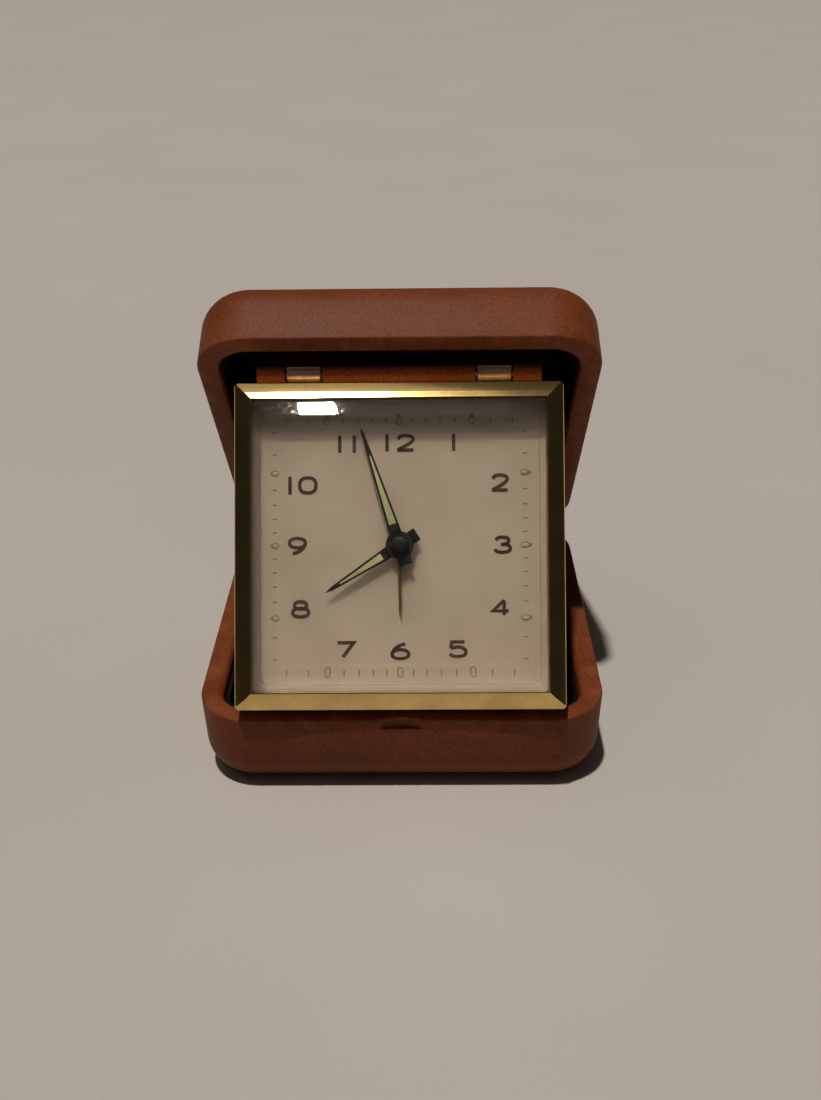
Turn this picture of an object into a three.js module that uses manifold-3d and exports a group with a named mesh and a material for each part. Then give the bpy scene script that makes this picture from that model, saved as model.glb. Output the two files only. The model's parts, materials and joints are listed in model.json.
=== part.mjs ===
// Folding travel alarm clock with a hand-wound movement.
// A two-shell case stands open like a tripod: the lower shell lies flat, the upper shell leans back from
// its hinge, and the square clock hangs from the upper shell's free edge and props it up.
// Millimetres, +X right, +Y back, +Z up. The origin is the centre of the lower shell's flat underside.

import * as THREE from 'three';
import { mergeVertices } from 'three/addons/utils/BufferGeometryUtils.js';
import Module from 'manifold-3d';

const wasm = await Module();
wasm.setup();

// ---------------------------------------------------------------- driving dimensions

const degree = Math.PI / 180;
const gap = 0.3;                      // running clearance between neighbours

// case
const caseWidth = 80;
const caseLength = 79;
const caseCorner = 10.8;              // corner radius of the outline at the rim
const lowerDepth = 17;
const upperDepth = 15.5;
const rimWidth = 4.4;
const caseFloor = 2;
const edgeRound = 7;                  // rounding between the walls and the flat back
const draft = Math.tan(2 * degree);
const linerThickness = 0.8;
const openAngle = 54.15 * degree;     // between the two rim planes, as it stands
const hingeBehind = 1;                // hinge axis behind the rear faces
const barrelRadius = 2;
const barrelLength = 7;
const lowerBarrels = [-23.5, 23.5];   // centres along X
const upperBarrels = [-31, -16, 16, 31];
const casePinRadius = 0.65;

// clock, in its own frame: x right, y up the face from the hinge axis, z out of the face
const lean = 31 * degree;             // the face leans back from upright
const clockHingeU = 71.8;             // clock hinge axis, from the case hinge along the upper rim plane
const clockHingeOut = 2.66;           // and in front of that plane
const clockCentre = 33.45;            // from the clock hinge axis down to the dial centre
const bezelHalfX = 31.6;
const bezelHalfY = 31.35;
const bezelWidth = 3.4;
const bezelRebate = 2.7;              // wall outside the crystal's flange
const bezelFront = 5.4;
const crystalWall = 1.5;
const crystalFlange = [1.2, 2.9];     // back and front of its flange
const crystalShoulder = 5.2;          // where its sloped border starts
const crystalFront = 6.7;
const crystalEdge = 5.5;              // width of the sloped border
const dialHalf = 28.4;
const dialFront = 0.8;
const housingHalf = 28.75;
const housingDepth = 10.5;
const housingWall = 1.5;
const knuckleRadius = 1.6;
const knuckleLength = 6.7;
const knuckleX = 18.5;
const clockPinRadius = 0.5;
const bracketDepth = 8;               // how far its arms reach into the upper shell
const railHalf = 27.6;
const controlHeight = 3.1;            // keys and knobs behind the housing

// movement
const plateHalf = 24;
const plateThickness = 0.9;
const frontPlateZ = -3;               // rear face of the front plate
const backPlateZ = -8.6;              // rear face of the back plate
const pillarAt = 21;
const pivotRadius = 0.3;
const arborRadius = 0.4;
const winderRadius = 1.2;
const alarmSetRadius = 0.6;
const wheelThickness = 0.5;
const levelA = -3.95;                 // lowest face of the front layer of wheels
const levelB = -5.4;
const levelC = -7.1;

const rearFace = -gap - housingDepth; // outside of the housing's back
const pipes = {                       // coaxial tubes on the centre: inner radius, outer radius, end
  cannon: [0.7, 0.95, 2.85],
  hour: [1.25, 1.45, 2],
  alarm: [1.75, 1.95, 1.2],
};
const handThickness = 0.25;
const hands = {                       // tail: squared end behind the centre
  alarm: { length: 13.8, width: 0.8, tipWidth: 0.5, tail: 0, hub: 2.4 },
  hour: { length: 17, width: 2.6, tipWidth: 0.8, tail: 4, hub: 2.7 },
  minute: { length: 23.8, width: 2.6, tipWidth: 0.6, tail: 4, hub: 2.6 },
};
const shownTime = { alarm: 180, hour: 237.5, minute: 342 };   // degrees clockwise from twelve

// gears: teeth and module
const motion = { cannon: 8, minute: 24, firstModule: 0.375, pinion: 8, hour: 32, secondModule: 0.3 };
const alarmGear = { pinion: 12, wheel: 36, module: 0.34 };
const barrelGear = { wheel: 36, pinion: 8, module: 0.45 };
const train = {
  centre: { wheel: 48, module: 0.25 },
  third: { wheel: 45, module: 0.22 },
  fourth: { wheel: 48, module: 0.2 },
  leaves: 6,
};

// arbor positions, from the dial centre
function polar(from, distance, angle) {
  return [from[0] + distance * Math.cos(angle), from[1] + distance * Math.sin(angle)];
}
function centreDistance(teeth, mates, module) {
  return (teeth + mates) * module / 2;
}
const centre = [0, 0];
const minuteAngle = -90 * degree;
const alarmSetAngle = 50 * degree;
const timeBarrelAngle = -34 * degree;
const thirdAngle = 150 * degree;
const fourthAngle = 100 * degree;
const escapeAngle = 30 * degree;
const strikeAngle = -35 * degree;
const barrelDistance = centreDistance(barrelGear.wheel, barrelGear.pinion, barrelGear.module);
const minuteDistance = centreDistance(motion.cannon, motion.minute, motion.firstModule);
const alarmSetDistance = centreDistance(alarmGear.pinion, alarmGear.wheel, alarmGear.module);
function trainDistance({ wheel, module }) {
  return centreDistance(wheel, train.leaves, module);
}
const minuteArbor = polar(centre, minuteDistance, minuteAngle);
const alarmSetArbor = polar(centre, alarmSetDistance, alarmSetAngle);
const timeBarrelArbor = polar(centre, barrelDistance, timeBarrelAngle);
const thirdArbor = polar(centre, trainDistance(train.centre), thirdAngle);
const fourthArbor = polar(thirdArbor, trainDistance(train.third), fourthAngle);
const escapeArbor = polar(fourthArbor, trainDistance(train.fourth), escapeAngle);
const palletArbor = [0.7, 16.5];
const balanceArbor = [8.5, 15.5];
const alarmBarrelArbor = [-13, -7.5];
const strikeArbor = polar(alarmBarrelArbor, barrelDistance, strikeAngle);
const hammerArbor = [1.6, -16.8];
const stopButtonY = -1;
const stopButtonZ = -5.6;
const stopButtonRadius = 0.9;

// ---------------------------------------------------------------- materials

const finishes = {
  brownPlastic: { color: 0x6e3d24, roughness: 0.5, metalness: 0 },
  blackLining: { color: 0x14110f, roughness: 0.95, metalness: 0 },
  gilt: { color: 0xc9a050, roughness: 0.22, metalness: 1 },
  nickel: { color: 0xb9b2a2, roughness: 0.35, metalness: 1 },
  steel: { color: 0x9a9a98, roughness: 0.35, metalness: 1 },
  springSteel: { color: 0x4e5563, roughness: 0.3, metalness: 1 },
  brass: { color: 0xc2993f, roughness: 0.35, metalness: 1 },
  cream: { color: 0xe6dcc3, roughness: 0.6, metalness: 0 },
  black: { color: 0x16120e, roughness: 0.4, metalness: 0 },
};

function finish(name) {
  return new THREE.MeshStandardMaterial({ name, ...finishes[name] });
}

const crystalMaterial = new THREE.MeshStandardMaterial({
  name: 'clearCrystal', color: 0xf2f4f2, roughness: 0.05, metalness: 0, transparent: true, opacity: 0.3,
});

// ---------------------------------------------------------------- solids

function toSolid(geometry) {
  const bare = geometry.clone();
  bare.deleteAttribute('normal');
  bare.deleteAttribute('uv');
  const merged = mergeVertices(bare, 1e-4);
  const mesh = new wasm.Mesh({
    numProp: 3,
    vertProperties: new Float32Array(merged.attributes.position.array),
    triVerts: new Uint32Array(merged.index.array),
  });
  return new wasm.Manifold(mesh);
}

function toGeometry(solid) {
  const mesh = solid.getMesh();
  const geometry = new THREE.BufferGeometry();
  geometry.setAttribute('position', new THREE.BufferAttribute(mesh.vertProperties, 3));
  geometry.setIndex(new THREE.BufferAttribute(mesh.triVerts, 1));
  geometry.computeVertexNormals();
  return geometry;
}

function join(first, ...others) {
  return toGeometry(others.reduce((solid, other) => solid.add(toSolid(other)), toSolid(first)));
}

function cut(body, ...tools) {
  return toGeometry(tools.reduce((solid, tool) => solid.subtract(toSolid(tool)), toSolid(body)));
}

/** Rounded rectangle as a counter-clockwise list of points. */
function roundedOutline(halfX, halfY, radius, steps) {
  const points = [];
  const corners = [[1, 1], [-1, 1], [-1, -1], [1, -1]];
  corners.forEach(([sideX, sideY], quarter) => {
    for (let i = 0; i <= steps; i++) {
      const angle = (quarter + i / steps) * Math.PI / 2;
      points.push([
        sideX * (halfX - radius) + radius * Math.cos(angle),
        sideY * (halfY - radius) + radius * Math.sin(angle),
      ]);
    }
  });
  return points;
}

/** Closed surface through rounded rectangles, from the first ring's cap to the last ring's. */
function loft(rings, steps) {
  const position = [];
  const index = [];
  const count = 4 * (steps + 1);
  for (const { halfX, halfY, radius, z } of rings) {
    for (const [x, y] of roundedOutline(halfX, halfY, radius, steps)) {
      position.push(x, y, z);
    }
  }
  for (let ring = 0; ring < rings.length - 1; ring++) {
    for (let i = 0; i < count; i++) {
      const a = ring * count + i;
      const b = ring * count + (i + 1) % count;
      index.push(a, b, b + count, a, b + count, a + count);
    }
  }
  const lastRing = (rings.length - 1) * count;
  const firstCentre = rings.length * count;
  position.push(0, 0, rings[0].z, 0, 0, rings[rings.length - 1].z);
  for (let i = 0; i < count; i++) {
    const next = (i + 1) % count;
    index.push(firstCentre, next, i);
    index.push(firstCentre + 1, lastRing + i, lastRing + next);
  }
  const geometry = new THREE.BufferGeometry();
  geometry.setAttribute('position', new THREE.Float32BufferAttribute(position, 3));
  geometry.setIndex(index);
  return geometry;
}

/** Open tray with its rim at z = 0 and its outside bottom at z = -depth.
 *  `steps` divides each corner of the outline, and `arcSteps` each rounding between wall and floor. */
function tray(size) {
  const { halfX, halfY, corner, depth, wall, floor, slope } = size;
  const { round, innerRound, lip, innerLip, steps, arcSteps } = size;
  const rings = [];
  const ring = (inset, z) => {
    const total = inset - slope * z;
    const radius = Math.max(corner - total, 0.4);
    rings.push({ halfX: halfX - total, halfY: halfY - total, radius, z });
  };
  for (let i = 0; i <= arcSteps; i++) {
    const angle = i / arcSteps * Math.PI / 2;
    ring(round * (1 - Math.sin(angle)), -depth + round * (1 - Math.cos(angle)));
  }
  ring(0, -lip);
  ring(lip, 0);
  const lipSteps = Math.ceil(2 * innerLip);
  for (let i = 0; i <= lipSteps; i++) {
    const angle = i / lipSteps * Math.PI / 2;
    ring(wall - innerLip * (1 - Math.sin(angle)), -innerLip * (1 - Math.cos(angle)));
  }
  const floorZ = floor - depth;
  for (let i = 0; i <= arcSteps; i++) {
    const angle = i / arcSteps * Math.PI / 2;
    ring(wall + innerRound * (1 - Math.cos(angle)), floorZ + innerRound * (1 - Math.sin(angle)));
  }
  return loft(rings, steps);
}

function box(x0, x1, y0, y1, z0, z1) {
  const geometry = new THREE.BoxGeometry(x1 - x0, y1 - y0, z1 - z0);
  return geometry.translate((x0 + x1) / 2, (y0 + y1) / 2, (z0 + z1) / 2);
}

/** Cylinder along Z, from z0 to z1, standing at a point. */
function post(at, radius, z0, z1, segments = 12) {
  const geometry = new THREE.CylinderGeometry(radius, radius, z1 - z0, segments);
  return geometry.rotateX(Math.PI / 2).translate(at[0], at[1], (z0 + z1) / 2);
}

/** Cylinder along X. */
function rod(x0, x1, radius, segments = 16) {
  const geometry = new THREE.CylinderGeometry(radius, radius, x1 - x0, segments);
  return geometry.rotateZ(Math.PI / 2).translate((x0 + x1) / 2, 0, 0);
}

function extrude(shape, z0, z1, curveSegments = 12) {
  const options = { depth: z1 - z0, bevelEnabled: false, curveSegments };
  return new THREE.ExtrudeGeometry(shape, options).translate(0, 0, z0);
}

const sideways = new THREE.Matrix4().makeBasis(
  new THREE.Vector3(0, 1, 0), new THREE.Vector3(0, 0, 1), new THREE.Vector3(1, 0, 0));

/** A shape drawn in the YZ plane, extruded along X. */
function extrudeAlongX(shape, x0, x1, curveSegments = 8) {
  return extrude(shape, x0, x1, curveSegments).applyMatrix4(sideways);
}

/** Tube along Z on the centre line. */
function pipe(innerRadius, outerRadius, z0, z1, segments = 16) {
  const profile = [
    [innerRadius, z0], [outerRadius, z0], [outerRadius, z1], [innerRadius, z1], [innerRadius, z0],
  ];
  const points = profile.map(([radius, z]) => new THREE.Vector2(radius, z));
  return new THREE.LatheGeometry(points, segments).rotateX(Math.PI / 2);
}

/** Toothed disc with one tooth in the direction `phase`, and a round bore. */
function gear(teeth, module, z0, z1, phase, bore) {
  const pitch = teeth * module / 2;
  const tip = pitch + 0.25 * module;
  const root = pitch - 0.9 * module;
  const tipHalf = 0.13;               // half a tooth's width at its tip, in parts of the pitch
  const shape = new THREE.Shape();
  const corners = [[root, -0.5], [tip, -tipHalf], [tip, tipHalf]];
  const points = [];
  for (let i = 0; i < teeth; i++) {
    for (const [radius, part] of corners) {
      const angle = phase + (i + part) * 2 * Math.PI / teeth;
      points.push(new THREE.Vector2(radius * Math.cos(angle), radius * Math.sin(angle)));
    }
  }
  shape.setFromPoints(points);
  if (bore > 0) {
    shape.holes.push(new THREE.Path().absarc(0, 0, bore, 0, 2 * Math.PI, true));
  }
  return extrude(shape, z0, z1, 6);
}

/** A tooth on one wheel meets a space on its mate: the direction of the mate's nearest tooth. */
function facing(direction, teeth) {
  return direction + Math.PI + Math.PI / teeth;
}

/** Flat spiral strip between two radii. */
function spiral(inner, outer, turns, thickness, z0, z1) {
  const stepsPerTurn = 12;
  const steps = Math.round(turns * stepsPerTurn);
  const outside = [];
  const inside = [];
  for (let i = 0; i <= steps; i++) {
    const angle = i / stepsPerTurn * 2 * Math.PI;
    const radius = inner + (outer - inner) * i / steps;
    const direction = new THREE.Vector2(Math.cos(angle), Math.sin(angle));
    outside.push(direction.clone().multiplyScalar(radius + thickness / 2));
    inside.unshift(direction.clone().multiplyScalar(radius - thickness / 2));
  }
  return extrude(new THREE.Shape([...outside, ...inside]), z0, z1);
}

// ---------------------------------------------------------------- case

const hingeAxis = new THREE.Vector3(0, caseLength / 2 + hingeBehind, lowerDepth);
const caseMiddle = hingeBehind + caseLength / 2;

/** Moulded hinge barrel on a shell's rear wall; the shell's rim faces up and the axis is the origin. */
function hingeBarrel(x) {
  const root = new THREE.Vector2(-1.5, -4.2);
  const toRoot = Math.atan2(root.y, root.x);
  const spread = Math.acos(barrelRadius / root.length());
  const shape = new THREE.Shape();
  shape.moveTo(root.x, root.y);
  shape.absarc(0, 0, barrelRadius, toRoot + spread, toRoot - spread + 2 * Math.PI, false);
  shape.closePath();
  return extrudeAlongX(shape, x - barrelLength / 2, x + barrelLength / 2);
}

/** Room for the other shell's barrel in a rear wall. */
function barrelNotch(x) {
  const half = barrelLength / 2 + gap;
  const reach = barrelRadius + 0.4;
  return box(x - half, x + half, -reach, 1, -3.4, 1);
}

/** Shallow scoop for a thumbnail in the front wall, just under the rim. */
function thumbNotch() {
  const radius = 12;
  const depth = 0.9;
  const front = caseMiddle + caseLength / 2;
  return post([0, -(front + radius - depth)], radius, -2.2, 1, 36);
}

/** One shell of the case, rim up, with the hinge axis along X through the origin. */
function caseShell(depth, innerLip, ownBarrels, cuts) {
  const shell = tray({
    halfX: caseWidth / 2,
    halfY: caseLength / 2,
    corner: caseCorner,
    depth,
    wall: rimWidth,
    floor: caseFloor,
    slope: draft,
    round: edgeRound,
    innerRound: 5,
    lip: 0.35,
    innerLip,
    steps: 6,
    arcSteps: 4,
  }).translate(0, -caseMiddle, 0);
  const bore = rod(-caseWidth / 2, caseWidth / 2, casePinRadius + gap, 12);
  const barrels = ownBarrels.map((x) => cut(hingeBarrel(x), bore));
  return join(cut(shell, ...cuts), ...barrels);
}

/** Black lining tray that follows a shell's inside, with room for any brackets on the free edge's wall. */
function caseLiner(depth, brackets) {
  const below = 1.7;                  // its edge lies below the rim
  const inset = rimWidth + gap + draft * below;
  const half = knuckleLength / 2 + gap;
  const freeEdge = -(caseMiddle + caseLength / 2);
  const rooms = brackets.map(
    (x) => box(x - half, x + half, freeEdge, freeEdge + 8, -bracketDepth - gap, 0));
  const lining = tray({
    halfX: caseWidth / 2 - inset,
    halfY: caseLength / 2 - inset,
    corner: caseCorner - inset,
    depth: depth - caseFloor - gap - below,
    wall: linerThickness,
    floor: linerThickness,
    slope: draft,
    round: 4.7,
    innerRound: 4,
    lip: 0.2,
    innerLip: 0.2,
    steps: 4,
    arcSteps: 2,
  }).translate(0, -caseMiddle, -below);
  return rooms.length > 0 ? cut(lining, ...rooms) : lining;
}

/** Steel pin through one side's three barrels. */
function casePin(side) {
  const ends = [12.6 * side, 34.4 * side].sort((a, b) => a - b);
  return rod(ends[0], ends[1], casePinRadius, 12);
}

// ---------------------------------------------------------------- clock hinge

/** Nickel knuckle with its arm, screwed inside the upper shell's free edge.
 *  Drawn in the upper shell's frame: y is minus the distance from the case hinge, z is the depth. */
function hingeBracket(side) {
  const x0 = side * knuckleX - knuckleLength / 2;
  const x1 = x0 + knuckleLength;
  const wallY = -(caseMiddle + caseLength / 2 - rimWidth);
  const axisY = -clockHingeU;
  const axisZ = -clockHingeOut;
  const back = wallY + gap + 0.35;
  const thickness = 1;
  const knuckle = rod(x0, x1, knuckleRadius).translate(0, axisY, axisZ);
  const shape = new THREE.Shape();
  shape.moveTo(axisY - knuckleRadius * 0.85, axisZ);
  shape.lineTo(axisY + 0.2, axisZ + knuckleRadius * 0.9);
  shape.lineTo(back + thickness, 2);
  shape.lineTo(back + thickness, bracketDepth);
  shape.lineTo(back, bracketDepth);
  shape.lineTo(back, 0.4);
  shape.closePath();
  const arm = extrudeAlongX(shape, x0, x1);
  const bore = rod(x0 - 1, x1 + 1, clockPinRadius + gap, 12).translate(0, axisY, axisZ);
  return cut(join(knuckle, arm), bore);
}

// ---------------------------------------------------------------- clock case and face
// Drawn about the dial centre: x right, y up, z out of the face. The clock hinge axis is at y = clockCentre.

function housing() {
  const shell = tray({
    halfX: housingHalf,
    halfY: housingHalf,
    corner: 2.4,
    depth: housingDepth,
    wall: housingWall,
    floor: 1.4,
    slope: 0,
    round: 2,
    innerRound: 0.6,
    lip: 0.2,
    innerLip: 0.2,
    steps: 2,
    arcSteps: 2,
  }).translate(0, 0, -gap);
  const web = new THREE.Shape();
  web.moveTo(housingHalf - housingWall + 0.2, -3.2);
  web.lineTo(clockCentre - 0.9, -1.3);
  web.absarc(clockCentre, 0, knuckleRadius, 236 * degree, 194 * degree + 2 * Math.PI, false);
  web.lineTo(housingHalf - housingWall + 0.2, -0.5);
  web.closePath();
  const rail = extrudeAlongX(web, -railHalf, railHalf, 12);
  const half = knuckleLength / 2 + gap;
  const notches = [-knuckleX, knuckleX].map(
    (x) => box(x - half, x + half, housingHalf + 0.5, clockCentre + 3, -4, 3));
  const bore = rod(-railHalf - 1, railHalf + 1, clockPinRadius + gap, 12).translate(0, clockCentre, 0);
  const through = [rearFace - 1, -5];
  const holes = [
    post(centre, arborRadius + gap, ...through),
    post(alarmSetArbor, alarmSetRadius + gap, ...through),
    post(timeBarrelArbor, winderRadius + gap, ...through, 16),
    post(alarmBarrelArbor, winderRadius + gap, ...through, 16),
    regulatorSlot(),
    rod(-housingHalf - 1, -housingHalf + 4, stopButtonRadius + gap).translate(0, stopButtonY, stopButtonZ),
  ];
  const screwHoles = screwPlaces.map((at) => post(at, 1 + gap, ...through));
  return cut(join(shell, rail), ...notches, bore, ...holes, ...screwHoles);
}

const screwPlaces = [[-18.5, 16], [18.5, -16]];
const regulatorReach = 6.2;
const regulatorSwing = 15 * degree;
const regulatorPin = 0.6;

/** Curved slot for the regulator's pin. */
function regulatorSlot() {
  const inner = regulatorReach - regulatorPin - gap;
  const outer = regulatorReach + regulatorPin + gap;
  const end = regulatorSwing + (regulatorPin + gap) / regulatorReach + 2 * degree;
  const shape = new THREE.Shape();
  shape.absarc(0, 0, outer, -end, end, false);
  shape.absarc(0, 0, inner, end, -end, true);
  shape.closePath();
  return extrude(shape, rearFace - 1, -9, 6).translate(balanceArbor[0], balanceArbor[1], 0);
}

/** Square gilt frame: a chamfer, the main facet, a flatter one up to the sight edge, and the crystal's rebate. */
function bezel() {
  const seat = crystalFlange[1] + gap;
  const profile = [                   // inset from the outside, height
    [0.25, 0], [0, 0.3], [0, 3.9], [0.35, 4.35], [2.2, 5.1], [bezelWidth - 0.1, bezelFront],
    [bezelWidth, bezelFront - 0.1], [bezelWidth, seat], [bezelRebate, seat], [bezelRebate, 0],
  ];
  const count = profile.length;
  const steps = 3;
  const perRing = 4 * (steps + 1);
  const position = [];
  const index = [];
  for (const [inset, z] of profile) {
    const radius = Math.max(1.2 - inset, 0.2);
    for (const [x, y] of roundedOutline(bezelHalfX - inset, bezelHalfY - inset, radius, steps)) {
      position.push(x, y, z);
    }
  }
  for (let ring = 0; ring < count; ring++) {
    for (let i = 0; i < perRing; i++) {
      const next = (i + 1) % perRing;
      const a = ring * perRing + i;
      const b = ring * perRing + next;
      const c = (ring + 1) % count * perRing + next;
      const d = (ring + 1) % count * perRing + i;
      index.push(a, b, c, a, c, d);
    }
  }
  const geometry = new THREE.BufferGeometry();
  geometry.setAttribute('position', new THREE.Float32BufferAttribute(position, 3));
  geometry.setIndex(index);
  return geometry;
}

/** Clear moulded crystal: a shallow box, open behind, with a flange under the bezel. */
function crystal() {
  const flangeX = bezelHalfX - bezelRebate - gap;
  const sightX = bezelHalfX - bezelWidth - gap;
  const innerX = sightX - crystalWall;
  const uneven = bezelHalfX - bezelHalfY;
  const [flangeBack, flangeFront] = crystalFlange;
  const ring = (halfX, radius, z) => ({ halfX, halfY: halfX - uneven, radius, z });
  return loft([
    ring(sightX - crystalEdge - 1, 2.5, crystalFront - crystalWall),
    ring(innerX, 1.2, crystalShoulder - crystalWall),
    ring(innerX, 1.2, flangeBack),
    ring(flangeX, 0.6, flangeBack),
    ring(flangeX, 0.6, flangeFront),
    ring(sightX, 0.8, flangeFront),
    ring(sightX, 0.8, crystalShoulder),
    ring(sightX - crystalEdge * 0.76, 2, crystalShoulder + 1.15),
    ring(sightX - crystalEdge, 3, crystalFront),
  ], 4);
}

function dial() {
  const outline = roundedOutline(dialHalf, dialHalf, 1, 3).map(([x, y]) => new THREE.Vector2(x, y));
  const shape = new THREE.Shape(outline);
  shape.holes.push(new THREE.Path().absarc(0, 0, pipes.alarm[1] + gap, 0, 2 * Math.PI, true));
  return extrude(shape, dialFront - 0.4, dialFront, 8);
}

/** Tapered, pointed hand along +Y with a round hub on its pipe. */
function hand({ length, width, tipWidth, tail, hub }, [bore, , pipeEnd]) {
  const z0 = pipeEnd + gap;
  const shoulder = length - 2 * tipWidth;
  const outline = [
    [width / 2, -tail], [width / 2, 0], [tipWidth / 2, shoulder], [0, length], [-tipWidth / 2, shoulder],
    [-width / 2, 0], [-width / 2, -tail],
  ];
  const corners = tail > 0 ? outline : outline.slice(1, -1);
  const shape = new THREE.Shape(corners.map(([x, y]) => new THREE.Vector2(x, y)));
  const blade = extrude(shape, z0, z0 + handThickness);
  const boss = post(centre, hub, z0, z0 + handThickness, 24);
  return cut(join(blade, boss), post(centre, bore, z0 - 1, z0 + 1, 16));
}

function handNut() {
  const profile = [[0, 3.75], [1.6, 3.75], [1.6, 4.15], [1.2, 4.5], [0, 4.6]];
  const points = profile.map(([radius, z]) => new THREE.Vector2(radius, z));
  return new THREE.LatheGeometry(points, 20).rotateX(Math.PI / 2);
}

// ---------------------------------------------------------------- movement

/** Brass plate with holes for the pivots and arbors. */
function plate(z0, holes) {
  const outline = roundedOutline(plateHalf, plateHalf, 3, 3).map(([x, y]) => new THREE.Vector2(x, y));
  const shape = new THREE.Shape(outline);
  for (const [at, radius] of holes) {
    shape.holes.push(new THREE.Path().absarc(at[0], at[1], radius, 0, 2 * Math.PI, true));
  }
  return extrude(shape, z0, z0 + plateThickness, 4);
}

const pivotHole = pivotRadius + gap;
const pivots = [thirdArbor, fourthArbor, escapeArbor, palletArbor, balanceArbor, strikeArbor, hammerArbor];

function frontPlate() {
  const holes = [
    [centre, arborRadius + gap],
    [alarmSetArbor, alarmSetRadius + gap],
    ...pivots.map((at) => [at, pivotHole]),
  ];
  const stud = post(minuteArbor, pivotRadius, frontPlateZ + 0.1, -0.7, 8);
  return join(plate(frontPlateZ, holes), stud);
}

function backPlate() {
  const holes = [
    [centre, arborRadius + gap],
    [alarmSetArbor, alarmSetRadius + gap],
    [timeBarrelArbor, winderRadius + gap],
    [alarmBarrelArbor, winderRadius + gap],
    ...pivots.map((at) => [at, pivotHole]),
    ...screwPlaces.map((at) => [at, 1 + gap]),
  ];
  return plate(backPlateZ, holes);
}

/** Arbor with a pinion and a wheel, as one piece. */
function wheelOnArbor(at, pinion, wheel) {
  const shaft = post([0, 0], pivotRadius, backPlateZ + gap, frontPlateZ + plateThickness - gap, 8);
  return join(shaft, pinion, wheel).translate(at[0], at[1], 0);
}

function pinionAt(level, module, phase) {
  return gear(train.leaves, module, level - 0.2, level + wheelThickness + 0.2, phase, 0);
}

function thirdWheel() {
  return wheelOnArbor(
    thirdArbor,
    pinionAt(levelA, train.centre.module, facing(thirdAngle, train.leaves)),
    gear(train.third.wheel, train.third.module, levelB, levelB + wheelThickness, fourthAngle, 0));
}

function fourthWheel() {
  return wheelOnArbor(
    fourthArbor,
    pinionAt(levelB, train.third.module, facing(fourthAngle, train.leaves)),
    gear(train.fourth.wheel, train.fourth.module, levelC, levelC + wheelThickness, escapeAngle, 0));
}

function escapeWheel() {
  const teeth = 15;
  const points = [];
  for (let i = 0; i < teeth; i++) {
    const angle = i * 2 * Math.PI / teeth;
    points.push([3.1, angle], [4.1, angle + 0.12], [4.1, angle + 0.17], [3.1, angle + 0.26]);
  }
  const outline = points.map(([r, a]) => new THREE.Vector2(r * Math.cos(a), r * Math.sin(a)));
  return wheelOnArbor(
    escapeArbor,
    pinionAt(levelC, train.fourth.module, facing(escapeAngle, train.leaves)),
    extrude(new THREE.Shape(outline), levelA, levelA + wheelThickness));
}

/** Pallet lever: two arms over the escape wheel and a fork towards the balance. */
function palletLever() {
  const toBalance = Math.atan2(balanceArbor[1] - palletArbor[1], balanceArbor[0] - palletArbor[0]);
  const shape = new THREE.Shape();
  shape.setFromPoints([
    [-2.7, -0.1], [-2.3, 0.6], [-1.2, 0.6], [0, 1], [1.6, 0.5], [5.6, 0.3], [6.1, 0.8], [6.8, 0.8],
    [6.3, 0.25], [6.3, -0.25], [6.8, -0.8], [6.1, -0.8], [5.6, -0.3], [1.6, -0.4], [0.4, -0.6], [-1.2, -0.1],
  ].reverse().map(([x, y]) => new THREE.Vector2(x, y)));
  const lever = extrude(shape, levelA, levelA + wheelThickness).rotateZ(toBalance);
  const shaft = post([0, 0], pivotRadius, backPlateZ + gap, frontPlateZ + plateThickness - gap, 8);
  return join(shaft, lever).translate(palletArbor[0], palletArbor[1], 0);
}

/** Balance: rim, one cross arm and its staff. */
function balanceWheel() {
  const z = levelB;
  const rim = pipe(4.6, 5.4, z, z + 0.6, 24);
  const arm = box(-4.8, 4.8, -0.4, 0.4, z, z + 0.6);
  const staff = post([0, 0], pivotRadius, backPlateZ + gap, frontPlateZ + plateThickness - gap, 8);
  return join(rim, arm, staff).translate(balanceArbor[0], balanceArbor[1], 0);
}

function hairspring() {
  return spiral(0.9, 3.6, 3.5, 0.3, -6.9, -6.6).translate(balanceArbor[0], balanceArbor[1], 0);
}

/** Regulator: a flat lever between the back plate and the housing, with a pin through the back. */
function regulatorLever() {
  const z0 = backPlateZ - gap - 0.25;
  const z1 = backPlateZ - gap;
  const ring = pipe(0.9, 1.7, z0, z1, 12);
  const arm = box(1.4, regulatorReach, -0.5, 0.5, z0, z1);
  const pin = post([regulatorReach, 0], regulatorPin, rearFace - 0.8, z1);
  return join(ring, arm, pin).translate(balanceArbor[0], balanceArbor[1], 0);
}

/** Spring barrel: a drum open towards the front with a toothed flange behind. */
function springBarrel(at, phase) {
  const drum = pipe(6.7, 7.2, levelC + 0.1, levelB + 0.7, 24);
  const bore = winderRadius + gap;
  const flange = gear(barrelGear.wheel, barrelGear.module, levelC - 0.1, levelC + 0.5, phase, bore);
  return join(drum, flange).translate(at[0], at[1], 0);
}

function mainspring(at) {
  return spiral(2, 6.1, 4, 0.4, levelC + 0.8, levelB + 0.5).translate(at[0], at[1], 0);
}

function windingArbor(at) {
  return post(at, winderRadius, rearFace - 1.6, frontPlateZ - gap, 16);
}

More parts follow.
